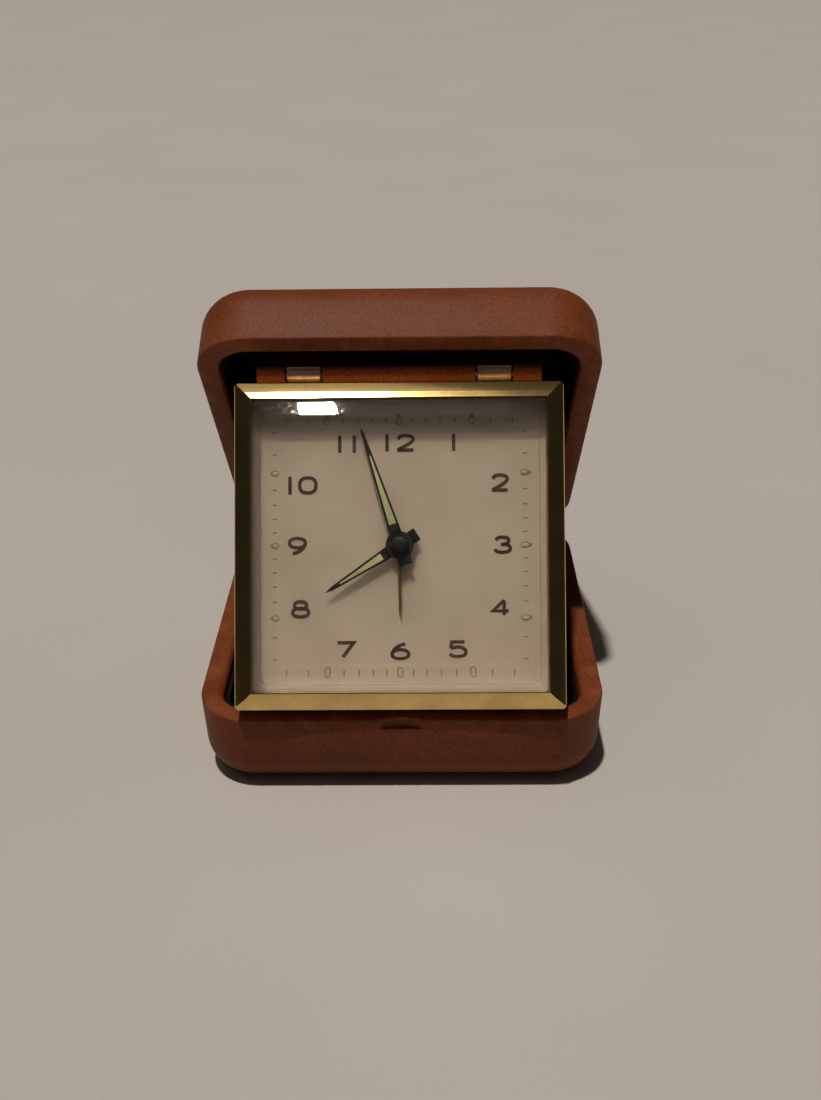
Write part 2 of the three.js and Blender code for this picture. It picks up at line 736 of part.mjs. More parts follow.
/** Wing key with a socket for its arbor. */
function windingKey(at) {
  const hub = new THREE.CylinderGeometry(2.3, 2.6, 2, 20).rotateX(-Math.PI / 2).translate(0, 0, -1);
  const wing = new THREE.Shape();
  const reach = 4.2;
  const lobe = 1.5;
  wing.absarc(reach, -controlHeight + lobe, lobe, -90 * degree, 90 * degree, false);
  wing.lineTo(1.4, -0.4);
  wing.lineTo(-1.4, -0.4);
  wing.lineTo(-reach, -controlHeight + 2 * lobe);
  wing.absarc(-reach, -controlHeight + lobe, lobe, 90 * degree, 270 * degree, false);
  wing.closePath();
  const blade = extrude(wing, -0.7, 0.7, 8).rotateX(Math.PI / 2);
  const socket = post([0, 0], winderRadius + gap, -1.6, 1, 16);
  return cut(join(hub, blade), socket).translate(at[0], at[1], rearFace - gap);
}

/** Knurled knob with a socket for its arbor. */
function knob(at, radius, arbor) {
  const ridges = 20;
  const points = [];
  for (let i = 0; i < ridges; i++) {
    for (const [part, size] of [[0, radius], [0.5, radius], [0.75, radius - 0.25]]) {
      const angle = (i + part) * 2 * Math.PI / ridges;
      points.push(new THREE.Vector2(size * Math.cos(angle), size * Math.sin(angle)));
    }
  }
  const body = extrude(new THREE.Shape(points), -controlHeight, 0);
  const socket = post([0, 0], arbor + gap, -1.9, 1);
  return cut(body, socket).translate(at[0], at[1], rearFace - gap);
}

// motion work, in front of the front plate

const cannonZ = [-1.75, -1.25];
const hourWheelZ = [-1.05, -0.65];
const alarmWheelZ = [-0.35, 0.05];

function centreArbor() {
  return post(centre, arborRadius, rearFace - 1.6, 3.4);
}

/** Centre wheel and its pinion on one pipe, which drives the arbor by friction. */
function centreWheel() {
  const bore = arborRadius + gap;
  const phase = facing(timeBarrelAngle + Math.PI, barrelGear.pinion);
  const { wheel: teeth, module } = train.centre;
  const wheel = gear(teeth, module, levelA, levelA + wheelThickness, thirdAngle, bore);
  const pinion = gear(barrelGear.pinion, barrelGear.module, levelC - 0.3, levelC + 0.7, phase, bore);
  return join(wheel, pinion, pipe(bore, 1.1, levelC, levelA + 0.1));
}

function cannonPinion() {
  const [bore, outside, end] = pipes.cannon;
  const leaves = gear(motion.cannon, motion.firstModule, ...cannonZ, minuteAngle, bore);
  return join(leaves, pipe(bore, outside, cannonZ[0] + 0.2, end));
}

function minuteWheel() {
  const bore = pivotRadius + 0.25;
  const phase = facing(minuteAngle, motion.minute);
  const away = minuteAngle + Math.PI;
  const wheel = gear(motion.minute, motion.firstModule, ...cannonZ, phase, bore);
  const pinion = gear(motion.pinion, motion.secondModule, cannonZ[0] + 0.1, hourWheelZ[1], away, bore);
  return join(wheel, pinion).translate(minuteArbor[0], minuteArbor[1], 0);
}

function hourWheel() {
  const [bore, outside, end] = pipes.hour;
  const phase = facing(minuteAngle + Math.PI, motion.hour);
  const wheel = gear(motion.hour, motion.secondModule, ...hourWheelZ, phase, bore);
  return join(wheel, pipe(bore, outside, hourWheelZ[0] + 0.1, end));
}

function alarmWheel() {
  const [bore, outside, end] = pipes.alarm;
  const wheel = gear(alarmGear.wheel, alarmGear.module, ...alarmWheelZ, alarmSetAngle, bore);
  return join(wheel, pipe(bore, outside, alarmWheelZ[0] + 0.1, end));
}

function alarmSetShaft() {
  const phase = facing(alarmSetAngle, alarmGear.pinion);
  const pinion = gear(alarmGear.pinion, alarmGear.module, ...alarmWheelZ, phase, 0);
  const shaft = post([0, 0], alarmSetRadius, rearFace - 1.6, -0.2);
  return join(pinion, shaft).translate(alarmSetArbor[0], alarmSetArbor[1], 0);
}

// alarm train

function strikeWheel() {
  const teeth = 12;
  const points = [];
  for (let i = 0; i < teeth; i++) {
    const angle = i * 2 * Math.PI / teeth;
    points.push([3, angle], [4.2, angle + 0.16], [4.2, angle + 0.22], [3, angle + 0.34]);
  }
  const outline = points.map(([r, a]) => new THREE.Vector2(r * Math.cos(a), r * Math.sin(a)));
  const phase = facing(strikeAngle, barrelGear.pinion);
  return wheelOnArbor(
    strikeArbor,
    gear(barrelGear.pinion, barrelGear.module, levelC - 0.3, levelC + 0.7, phase, 0),
    extrude(new THREE.Shape(outline), levelA, levelA + wheelThickness));
}

/** Hammer: a short lever with two pallets at the strike wheel and a round head near the gong. */
function alarmHammer() {
  const arm = new THREE.Shape([
    [0.2, 0.9], [-2.3, 1.6], [-2.5, 0.9], [-0.9, -0.9], [8.2, -2.5], [8.6, -1.5],
  ].map(([x, y]) => new THREE.Vector2(x, y)));
  const lever = extrude(arm, levelA, levelA + wheelThickness);
  const head = post([8.4, -2.2], 1.3, levelA - 1.6, levelA + wheelThickness);
  const shaft = post([0, 0], pivotRadius, backPlateZ + gap, frontPlateZ + plateThickness - gap, 8);
  return join(shaft, lever, head).translate(hammerArbor[0], hammerArbor[1], 0);
}

function alarmGong() {
  return box(5, 18.5, -23.4, -22.4, levelB - 0.6, levelA + 0.4);
}

/** Alarm stop plunger through the housing's left wall. */
function stopButton() {
  const pin = rod(-32.1, -24.8, stopButtonRadius, 14);
  const collar = rod(-26.9, -25.9, 1.7, 14);
  return join(pin, collar).translate(0, stopButtonY, stopButtonZ);
}

/** Slotted screw that holds the movement in the housing. */
function backScrew(at) {
  const headTop = rearFace - gap - 0.8;
  const head = post([0, 0], 1.8, headTop, rearFace - gap, 16);
  const shank = post([0, 0], 1, rearFace - gap - 0.1, backPlateZ + 0.2);
  const slot = box(-2, 2, -0.25, 0.25, headTop - 0.5, headTop + 0.4);
  return cut(join(head, shank), slot).translate(at[0], at[1], 0);
}

function pillar(sideX, sideY) {
  const at = [sideX * pillarAt, sideY * pillarAt];
  return post(at, 1.5, backPlateZ + plateThickness + gap, frontPlateZ - gap);
}

// ---------------------------------------------------------------- assembly

function named(name, geometry, material) {
  const mesh = new THREE.Mesh(geometry, material);
  mesh.name = name;
  return mesh;
}

/** Turns a piece of the face clockwise from twelve o'clock. */
function clockwise(mesh, degrees) {
  mesh.rotation.z = -degrees * degree;
  return mesh;
}

function lowerCase() {
  const group = new THREE.Group();
  group.position.copy(hingeAxis);
  const lowerCuts = [...upperBarrels.map(barrelNotch), thumbNotch()];
  group.add(
    named('lower_shell', caseShell(lowerDepth, 1.5, lowerBarrels, lowerCuts), finish('brownPlastic')),
    named('lower_liner', caseLiner(lowerDepth, []), finish('blackLining')),
    named('case_hinge_pin_left', casePin(-1), finish('steel')),
    named('case_hinge_pin_right', casePin(1), finish('steel')),
  );
  return group;
}

function upperCase() {
  const group = new THREE.Group();
  group.position.copy(hingeAxis);
  group.rotation.x = -openAngle;
  const body = caseShell(upperDepth, 0.5, upperBarrels, lowerBarrels.map(barrelNotch));
  const shell = named('upper_shell', body, finish('brownPlastic'));
  const liner = named('upper_liner', caseLiner(upperDepth, [-knuckleX, knuckleX]), finish('blackLining'));
  shell.rotation.y = Math.PI;
  liner.rotation.y = Math.PI;
  const pin = rod(-railHalf + 0.4, railHalf - 0.4, clockPinRadius, 12)
    .translate(0, -clockHingeU, -clockHingeOut);
  group.add(
    shell,
    liner,
    named('hinge_bracket_left', hingeBracket(-1), finish('nickel')),
    named('hinge_bracket_right', hingeBracket(1), finish('nickel')),
    named('clock_hinge_pin', pin, finish('steel')),
  );
  return group;
}

function faceParts() {
  const alarmHand = named('alarm_hand', hand(hands.alarm, pipes.alarm), finish('brass'));
  const hourHand = named('hour_hand', hand(hands.hour, pipes.hour), finish('black'));
  const minuteHand = named('minute_hand', hand(hands.minute, pipes.cannon), finish('black'));
  return [
    named('clock_housing', housing(), finish('brownPlastic')),
    named('bezel', bezel(), finish('gilt')),
    named('crystal', crystal(), crystalMaterial),
    named('dial', dial(), finish('cream')),
    clockwise(alarmHand, shownTime.alarm),
    clockwise(hourHand, shownTime.hour),
    clockwise(minuteHand, shownTime.minute),
    named('hand_nut', handNut(), finish('black')),
  ];
}

function timeTrain() {
  const pillars = [[-1, -1], [1, -1], [-1, 1], [1, 1]];
  return [
    named('movement_front_plate', frontPlate(), finish('brass')),
    named('movement_back_plate', backPlate(), finish('brass')),
    ...pillars.map(([x, y], i) => named(`pillar_${i + 1}`, pillar(x, y), finish('brass'))),
    named('centre_arbor', centreArbor(), finish('steel')),
    named('centre_wheel', centreWheel(), finish('brass')),
    named('cannon_pinion', cannonPinion(), finish('steel')),
    named('minute_wheel', minuteWheel(), finish('brass')),
    named('hour_wheel', hourWheel(), finish('brass')),
    named('third_wheel', thirdWheel(), finish('brass')),
    named('fourth_wheel', fourthWheel(), finish('brass')),
    named('escape_wheel', escapeWheel(), finish('steel')),
    named('pallet_lever', palletLever(), finish('steel')),
    named('balance_wheel', balanceWheel(), finish('brass')),
    named('hairspring', hairspring(), finish('springSteel')),
    named('regulator_lever', regulatorLever(), finish('steel')),
    named('time_barrel', springBarrel(timeBarrelArbor, timeBarrelAngle + Math.PI), finish('brass')),
    named('time_mainspring', mainspring(timeBarrelArbor), finish('springSteel')),
    named('time_winding_arbor', windingArbor(timeBarrelArbor), finish('steel')),
    named('time_winding_key', windingKey(timeBarrelArbor), finish('gilt')),
    named('time_set_knob', knob(centre, 3.2, arborRadius), finish('gilt')),
  ];
}

function alarmTrain() {
  return [
    named('alarm_wheel', alarmWheel(), finish('brass')),
    named('alarm_set_arbor', alarmSetShaft(), finish('steel')),
    named('alarm_set_knob', knob(alarmSetArbor, 2.8, alarmSetRadius), finish('gilt')),
    named('alarm_barrel', springBarrel(alarmBarrelArbor, strikeAngle), finish('brass')),
    named('alarm_mainspring', mainspring(alarmBarrelArbor), finish('springSteel')),
    named('alarm_winding_arbor', windingArbor(alarmBarrelArbor), finish('steel')),
    named('alarm_winding_key', windingKey(alarmBarrelArbor), finish('gilt')),
    named('alarm_strike_wheel', strikeWheel(), finish('brass')),
    named('alarm_hammer', alarmHammer(), finish('steel')),
    named('alarm_gong', alarmGong(), finish('springSteel')),
    named('alarm_stop_button', stopButton(), finish('black')),
    named('back_screw_upper', backScrew(screwPlaces[0]), finish('steel')),
    named('back_screw_lower', backScrew(screwPlaces[1]), finish('steel')),
  ];
}

function clock() {
  const group = new THREE.Group();
  const along = new THREE.Vector3(0, -Math.cos(openAngle), Math.sin(openAngle)).multiplyScalar(clockHingeU);
  const out = new THREE.Vector3(0, -Math.sin(openAngle), -Math.cos(openAngle)).multiplyScalar(clockHingeOut);
  group.position.copy(hingeAxis).add(along).add(out);
  group.rotation.x = Math.PI / 2 - lean;
  const face = new THREE.Group();
  face.position.y = -clockCentre;
  face.add(...faceParts(), ...timeTrain(), ...alarmTrain());
  group.add(face);
  return group;
}

const travelClock = new THREE.Group();
travelClock.add(lowerCase(), upperCase(), clock());

export default travelClock;
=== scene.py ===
"""Folding travel alarm clock: the looks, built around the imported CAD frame. Metres, in the row frame."""
import json
import math

import bmesh
import bpy
from mathutils import Matrix, Vector


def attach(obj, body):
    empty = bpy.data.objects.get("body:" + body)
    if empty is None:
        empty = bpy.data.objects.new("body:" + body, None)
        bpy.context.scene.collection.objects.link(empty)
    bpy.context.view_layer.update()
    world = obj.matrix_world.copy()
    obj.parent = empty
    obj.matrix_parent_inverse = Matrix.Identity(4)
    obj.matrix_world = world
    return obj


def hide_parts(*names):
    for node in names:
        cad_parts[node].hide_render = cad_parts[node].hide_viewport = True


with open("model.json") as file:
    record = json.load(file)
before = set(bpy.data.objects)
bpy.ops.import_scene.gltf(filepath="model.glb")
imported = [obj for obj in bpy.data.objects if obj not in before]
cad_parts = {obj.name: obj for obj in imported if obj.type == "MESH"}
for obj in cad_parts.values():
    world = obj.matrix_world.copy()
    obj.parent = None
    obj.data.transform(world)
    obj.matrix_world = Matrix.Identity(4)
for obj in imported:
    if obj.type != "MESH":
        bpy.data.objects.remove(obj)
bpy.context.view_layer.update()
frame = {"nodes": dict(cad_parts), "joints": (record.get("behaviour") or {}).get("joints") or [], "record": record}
JOINTS = {joint["name"]: joint for joint in frame["joints"]}
MM = 0.001

# ------------------------------------------------------------- sizes, in millimetres unless named otherwise

CASE_WIDTH, CASE_LENGTH, CASE_CORNER = 80.0, 79.0, 10.8
LOWER_DEPTH, UPPER_DEPTH = 17.0, 15.5
RIM_WIDTH, CASE_FLOOR, EDGE_ROUND = 4.4, 2.0, 7.0
DRAFT = math.tan(math.radians(2))
CASE_MIDDLE = 1 + CASE_LENGTH / 2
OPEN_ANGLE = math.radians(54.15)
BARREL_RADIUS, BARREL_LENGTH = 2.0, 7.0
LOWER_BARRELS, UPPER_BARRELS = (-23.5, 23.5), (-31.0, -16.0, 16.0, 31.0)
CASE_PIN_RADIUS = 0.65
GAP = 0.3
CLOCK_HINGE_U, CLOCK_HINGE_OUT, CLOCK_CENTRE = 71.8, 2.66, 33.45
KNUCKLE_RADIUS, KNUCKLE_LENGTH, KNUCKLE_X = 1.6, 6.7, 18.5
CLOCK_PIN_RADIUS, RAIL_HALF, BRACKET_DEPTH = 0.5, 27.6, 8.0
BEZEL_X, BEZEL_Y, BEZEL_WIDTH, BEZEL_REBATE = 31.6, 31.35, 3.4, 2.7
HOUSING_HALF, HOUSING_DEPTH = 28.75, 10.5
REAR_FACE = -GAP - HOUSING_DEPTH
DIAL_HALF, DIAL_FRONT = 28.4, 0.8
HAND_THICKNESS = 0.25
CONTROL_HEIGHT = 3.1
TIME_BARREL, ALARM_BARREL = (8.2074, -5.536), (-13.0, -7.5)
ALARM_SET, BALANCE = (5.2451, 6.2509), (8.5, 15.5)
SCREWS = {"back_screw_upper": (-18.5, 16.0), "back_screw_lower": (18.5, -16.0)}

# ---------------------------------------------------------------- placement, from the frame

CASE_AXIS = Vector(JOINTS["case_hinge"]["pos_m"])
CLOCK_AXIS = Vector(JOINTS["clock_hinge"]["pos_m"])
RIGHT = Vector((1, 0, 0))
OUT = -Vector(JOINTS["time_set"]["axis"])
UP = OUT.cross(RIGHT)


def placed(at, right, up, out):
    """Matrix that takes local millimetres x, y, z to the row frame."""
    turn = Matrix((right, up, out)).transposed().to_4x4()
    return Matrix.Translation(at) @ turn


IN_LOWER = Matrix.Translation(CASE_AXIS)
IN_LID = IN_LOWER @ Matrix.Rotation(-OPEN_ANGLE, 4, "X")
IN_UPPER = IN_LID @ Matrix.Rotation(math.pi, 4, "Y")
IN_FACE = placed(CLOCK_AXIS - UP * CLOCK_CENTRE * MM, RIGHT, UP, OUT)

# ---------------------------------------------------------------- material nodes


class Finish:
    """One node material, with a Principled shader and short calls for the nodes that feed it."""

    def __init__(self, name):
        self.material = bpy.data.materials.new(name)
        self.material.use_nodes = True
        self.tree = self.material.node_tree
        self.tree.nodes.clear()
        self.output = self.tree.nodes.new("ShaderNodeOutputMaterial")
        self.shader = self.tree.nodes.new("ShaderNodeBsdfPrincipled")
        self.tree.links.new(self.shader.outputs[0], self.output.inputs["Surface"])
        self.place = self.tree.nodes.new("ShaderNodeTexCoord").outputs["Object"]

    def add(self, kind, links=(), **settings):
        node = self.tree.nodes.new(kind)
        for key, value in settings.items():
            setattr(node, key, value)
        for socket, source in dict(links).items():
            if isinstance(source, bpy.types.NodeSocket):
                self.tree.links.new(source, node.inputs[socket])
            else:
                node.inputs[socket].default_value = source
        return node

    def stretched(self, scale):
        return self.add("ShaderNodeMapping", {"Vector": self.place, "Scale": scale}).outputs[0]

    def noise(self, size, detail=3.0, roughness=0.55, place=None):
        """Noise from 0 to 1 with features of about that size, in metres."""
        source = self.place if place is None else place
        links = {"Vector": source, "Scale": 1 / size, "Detail": detail, "Roughness": roughness}
        return self.add("ShaderNodeTexNoise", links).outputs["Fac"]

    def cells(self, size, place=None, feature="F1"):
        source = self.place if place is None else place
        links = {"Vector": source, "Scale": 1 / size}
        return self.add("ShaderNodeTexVoronoi", links, feature=feature).outputs["Distance"]

    def span(self, value, low, high, to_low=0.0, to_high=1.0):
        links = {"Value": value, "From Min": low, "From Max": high, "To Min": to_low, "To Max": to_high}
        return self.add("ShaderNodeMapRange", links, interpolation_type="SMOOTHSTEP").outputs["Result"]

    def math(self, operation, first, second=0.0):
        return self.add("ShaderNodeMath", {0: first, 1: second}, operation=operation).outputs[0]

    def blend(self, factor, first, second, kind="MIX"):
        node = self.add("ShaderNodeMix", data_type="RGBA", blend_type=kind)
        sockets = {"Factor_Float": factor, "A_Color": first, "B_Color": second}
        for identifier, source in sockets.items():
            socket = next(s for s in node.inputs if s.identifier == identifier)
            if isinstance(source, bpy.types.NodeSocket):
                self.tree.links.new(source, socket)
            else:
                socket.default_value = source if isinstance(source, float) else (*source, 1.0)
        return next(s for s in node.outputs if s.identifier == "Result_Color")

    def attribute(self, name):
        return self.add("ShaderNodeAttribute", attribute_name=name).outputs["Fac"]

    def bump(self, height, depth, strength=1.0):
        links = {"Height": height, "Distance": depth, "Strength": strength}
        self.feed(Normal=self.add("ShaderNodeBump", links).outputs["Normal"])

    def feed(self, **sources):
        for key, source in sources.items():
            self.tree.links.new(source, self.shader.inputs[key.replace("_", " ")])
        return self

    def fixed(self, **values):
        for key, value in values.items():
            self.shader.inputs[key.replace("_", " ")].default_value = value
        return self


BROWN_PLAIN, BROWN_WARM = (0.175, 0.042, 0.013), (0.225, 0.058, 0.018)


def brown_plastic(name, painted_light_lift=1.0):
    """Moulded brown plastic with a leather-like grain whose creases carry painted shade. Its lift factor brightens
    its colours, as painted light where it is above 1.
    """
    f = Finish(name)
    # A lift above 1 brightens both browns: painted light.
    plain, warm = [tuple(painted_light_lift * c for c in colour) for colour in (BROWN_PLAIN, BROWN_WARM)]
    warp = f.add("ShaderNodeTexNoise", {"Vector": f.place, "Scale": 420.0, "Detail": 2.0}).outputs["Color"]
    reach = (0.0011, 0.0011, 0.0011)
    warped = f.add("ShaderNodeVectorMath", {0: warp, 1: reach}, operation="MULTIPLY").outputs[0]
    moved = f.add("ShaderNodeVectorMath", {0: f.place, 1: warped}, operation="ADD").outputs[0]
    creases = f.span(f.cells(0.00085, moved, "DISTANCE_TO_EDGE"), 0.0, 0.16)
    fine = f.noise(0.00022, 2.0)
    patches = f.noise(0.016, 4.0)
    base = f.blend(f.span(patches, 0.3, 0.7), plain, warm)
    # Painted shade: the grain's creases are darkened toward deep brown.
    base = f.blend(f.span(creases, 0.0, 1.0, 0.55, 0.0), base, (0.09, 0.022, 0.008))
    worn = f.math("MULTIPLY", f.attribute("edge"), f.span(f.noise(0.004, 3.0), 0.42, 0.7))
    base = f.blend(f.math("MULTIPLY", worn, 0.3), base, (0.3, 0.1, 0.045))
    f.feed(Base_Color=base, Roughness=f.span(patches, 0.2, 0.8, 0.46, 0.58))
    f.bump(f.math("ADD", creases, f.math("MULTIPLY", fine, 0.4)), 0.000025, 0.5)
    f.fixed(Specular_IOR_Level=0.16)
    return f.material


def black_lining():
    """Matt flocked lining."""
    f = Finish("black_lining")
    pile = f.noise(0.00025, 4.0, 0.7)
    patches = f.noise(0.009, 3.0)
    f.feed(Base_Color=f.blend(f.span(patches, 0.3, 0.7), (0.004, 0.003, 0.003), (0.009, 0.007, 0.006)))
    f.bump(f.math("ADD", pile, f.math("MULTIPLY", patches, 0.6)), 0.00012, 0.9)
    f.fixed(Roughness=0.96, Specular_IOR_Level=0.08)
    return f.material


def metal(name, bright, dull, roughness, streaks=None, depth=0.000004):
    """Polished or satin metal with cloudy tarnish and fine rubbed marks. Streaks stretch the marks."""
    f = Finish(name)
    cloud = f.noise(0.006, 5.0, 0.6)
    marks = f.noise(0.00035, 3.0, 0.6, f.stretched(streaks) if streaks else None)
    clouded = f.span(cloud, 0.3, 0.8, roughness, roughness * 1.5)
    f.feed(
        Base_Color=f.blend(f.span(cloud, 0.35, 0.72), bright, dull),
        Roughness=f.math("ADD", clouded, f.math("MULTIPLY", marks, 0.07)),
    )
    f.bump(marks, depth, 0.5)
    f.fixed(Metallic=1.0)
    return f.material


def clear_crystal():
    """Clear moulded acrylic that lamps shine through, less at its thick edge, with faint handling marks."""
    f = Finish("clear_crystal")
    marks = f.noise(0.0006, 4.0, 0.6, f.stretched((1.0, 0.22, 1.0)))
    f.feed(Roughness=f.span(marks, 0.45, 0.8, 0.012, 0.05))
    f.feed(Base_Color=f.blend(f.noise(0.01), (0.95, 0.955, 0.94), (0.985, 0.985, 0.97)))
    f.fixed(Transmission_Weight=1.0, IOR=1.49)
    path = f.add("ShaderNodeLightPath").outputs["Is Shadow Ray"]
    at_edge = f.math("GREATER_THAN", f.attribute("edge"), 0.5)
    thick_edge = f.blend(at_edge, (0.86, 0.85, 0.82), (0.16, 0.13, 0.12))
    open_way = f.add("ShaderNodeBsdfTransparent", {"Color": thick_edge})
    both = f.add("ShaderNodeMixShader", {0: path, 1: f.shader.outputs[0], 2: open_way.outputs[0]})
    f.tree.links.new(both.outputs[0], f.output.inputs["Surface"])
    return f.material


def painted(name, colour, aged, roughness, grain=0.0003, depth=0.000006, patch=0.012):
    """Matt paint or print, slightly mottled."""
    f = Finish(name)
    patches = f.noise(patch, 4.0, 0.6)
    speck = f.noise(grain, 3.0, 0.6)
    base = f.blend(f.span(patches, 0.3, 0.75), colour, aged)
    f.feed(
        Base_Color=f.blend(f.span(speck, 0.6, 0.85, 0.0, 0.25), base, aged),
        Roughness=f.span(patches, 0.2, 0.8, roughness, roughness * 1.18),
    )
    f.bump(speck, depth, 0.5)
    f.fixed(Specular_IOR_Level=0.2)
    return f.material


def part_blackened(name, bright, roughness):
    """Bright metal that turns to black where the mesh is marked dark: black enamel on the hands, painted shade on
    the knuckle arms.
    """
    f = Finish(name)
    dark = f.span(f.attribute("dark"), 0.06, 0.14)
    marks = f.noise(0.0004, 3.0)
    shine = f.blend(f.span(f.noise(0.003, 4.0), 0.35, 0.7), bright, tuple(0.72 * c for c in bright))
    rubbed = f.span(marks, 0.3, 0.8, roughness, roughness + 0.12)
    f.feed(
        Base_Color=f.blend(dark, shine, (0.005, 0.004, 0.003)),
        Metallic=f.math("MULTIPLY", f.math("SUBTRACT", 1.0, dark), 0.9),
        Roughness=f.math("ADD", rubbed, f.math("MULTIPLY", dark, 0.35)),
    )
    f.bump(marks, 0.000003, 0.4)
    f.fixed(Specular_IOR_Level=0.1)
    return f.material


def floor_finish():
    f = Finish("studio_floor")
    patches = f.noise(0.12, 3.0)
    weave = f.noise(0.0011, 2.0)
    f.feed(Base_Color=f.blend(patches, (0.5, 0.475, 0.45), (0.56, 0.53, 0.505)))
    f.bump(weave, 0.00012, 0.35)
    f.fixed(Roughness=0.9, Specular_IOR_Level=0.1)
    return f.material


BROWN = brown_plastic("brown_plastic")
# Painted light: the housing's brown is lifted 1.9 times so the rail looks as lit as it appears under the lamp.
HOUSING_BROWN_PAINTED_LIGHT = brown_plastic("housing_plastic_painted_light", 1.9)
LINING = black_lining()
GILT = metal("gilt", (0.82, 0.6, 0.24), (0.66, 0.45, 0.17), 0.07)
STEEL = metal("steel", (0.52, 0.52, 0.5), (0.36, 0.35, 0.33), 0.3, (1.0, 0.1, 1.0))
BLUED = metal("blued_steel", (0.08, 0.1, 0.17), (0.05, 0.055, 0.08), 0.26)
BRASS = metal("brass", (0.66, 0.45, 0.17), (0.5, 0.32, 0.11), 0.3, (0.12, 1.0, 1.0))
CRYSTAL = clear_crystal()
# Painted shade: the dial's cream is darkened to under half its paint's brightness, for the light lost through the
# crystal.
DIAL_CREAM_PAINTED_SHADE = painted("dial_cream", (0.4, 0.33, 0.265), (0.355, 0.29, 0.228), 0.55)
INK = painted("dial_ink", (0.04, 0.024, 0.016), (0.07, 0.045, 0.03), 0.5)
LUME = painted("lume", (0.42, 0.4, 0.2), (0.34, 0.32, 0.15), 0.8, 0.00018, 0.00003, 0.003)
DOT = painted("lume_dot", (0.37, 0.34, 0.235), (0.31, 0.28, 0.185), 0.8)
RING = painted("dial_ring", (0.17, 0.135, 0.105), (0.21, 0.17, 0.135), 0.6)
BLACK = painted("black_enamel", (0.006, 0.005, 0.004), (0.011, 0.009, 0.007), 0.6)
HAND = part_blackened("hand_metal", (0.3, 0.24, 0.09), 0.28)
# The knuckle arms turn black as painted shade.
KNUCKLE = part_blackened("knuckle_metal", (0.6, 0.42, 0.33), 0.42)

# ---------------------------------------------------------------- mesh building, in local millimetres


def build(name, verts, faces, matrix, smooth=35.0):
    """A new mesh object from millimetre vertices, with its place in its matrix."""
    mesh = bpy.data.meshes.new(name)
    mesh.from_pydata([Vector(v) * MM for v in verts], [], faces)
    mesh.update()
    work = bmesh.new()
    work.from_mesh(mesh)
    bmesh.ops.recalc_face_normals(work, faces=work.faces)
    work.to_mesh(mesh)
    work.free()
    piece = bpy.data.objects.new(name, mesh)
    bpy.context.scene.collection.objects.link(piece)
    piece.matrix_world = matrix
    shade(piece, smooth)
    return piece


def shade(piece, angle=35.0):
    piece.data.shade_smooth()
    piece.data.set_sharp_from_angle(angle=math.radians(angle))


def settle(piece, smooth=35.0):
    """Applies a piece's modifiers to its mesh."""
    bpy.context.view_layer.update()
    graph = bpy.context.evaluated_depsgraph_get()
    made = bpy.data.meshes.new_from_object(piece.evaluated_get(graph))
    piece.modifiers.clear()
    piece.data = made
    shade(piece, smooth)
    return piece


def combine(piece, operation, *tools):
    """Joins tools to a piece or cuts them from it, and removes the tools."""
    for tool in tools:
        step = piece.modifiers.new("combine", "BOOLEAN")
        step.operation, step.solver, step.object = operation, "EXACT", tool
        settle(piece)
        bpy.data.objects.remove(tool)
    return piece


def soften(piece, width, segments=2, angle=40.0, smooth=35.0):
    """Rounds a piece's sharp edges by a small bevel."""
    step = piece.modifiers.new("soften", "BEVEL")
    step.width, step.segments, step.limit_method = width * MM, segments, "ANGLE"
    step.angle_limit, step.harden_normals = math.radians(angle), False
    return settle(piece, smooth)


def merged(name, parts, smooth=35.0):
    """One object from several that share a matrix."""
    work = bmesh.new()
    for part in parts:
        work.from_mesh(part.data)
    mesh = bpy.data.meshes.new(name)
    work.to_mesh(mesh)
    work.free()
    piece = bpy.data.objects.new(name, mesh)
    bpy.context.scene.collection.objects.link(piece)
    piece.matrix_world = parts[0].matrix_world.copy()
    for part in parts:
        bpy.data.objects.remove(part)
    shade(piece, smooth)
    return piece


def finish_piece(piece, body, finish, stands_for=()):
    """Gives a piece its material, the body it rides on and the CAD nodes it stands for."""
    piece.data.materials.clear()
    piece.data.materials.append(finish)
    piece.data.transform(piece.matrix_world)
    piece.matrix_world = Matrix.Identity(4)
    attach(piece, body)
    if stands_for:
        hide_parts(*stands_for)
    return piece


def rounded_outline(half_x, half_y, radius, steps):
    points = []
    for quarter, (side_x, side_y) in enumerate(((1, 1), (-1, 1), (-1, -1), (1, -1))):
        for i in range(steps + 1):
            angle = (quarter + i / steps) * math.pi / 2
            points.append((
                side_x * (half_x - radius) + radius * math.cos(angle),
                side_y * (half_y - radius) + radius * math.sin(angle),
            ))
    return points


def loft(name, rings, steps, matrix, smooth=35.0):
    """Closed body through rounded rectangles (half x, half y, radius, z), capped at both ends."""
    verts, faces = [], []
    count = 4 * (steps + 1)
    for half_x, half_y, radius, z in rings:
        verts += [(x, y, z) for x, y in rounded_outline(half_x, half_y, radius, steps)]
    for ring in range(len(rings) - 1):
        for i in range(count):
            a, b = ring * count + i, ring * count + (i + 1) % count
            faces.append((a, b, b + count, a + count))
    faces.append(tuple(reversed(range(count))))
    faces.append(tuple(range((len(rings) - 1) * count, len(rings) * count)))
    return build(name, verts, faces, matrix, smooth)


def arc(steps):
    return [i / steps * math.pi / 2 for i in range(steps + 1)]


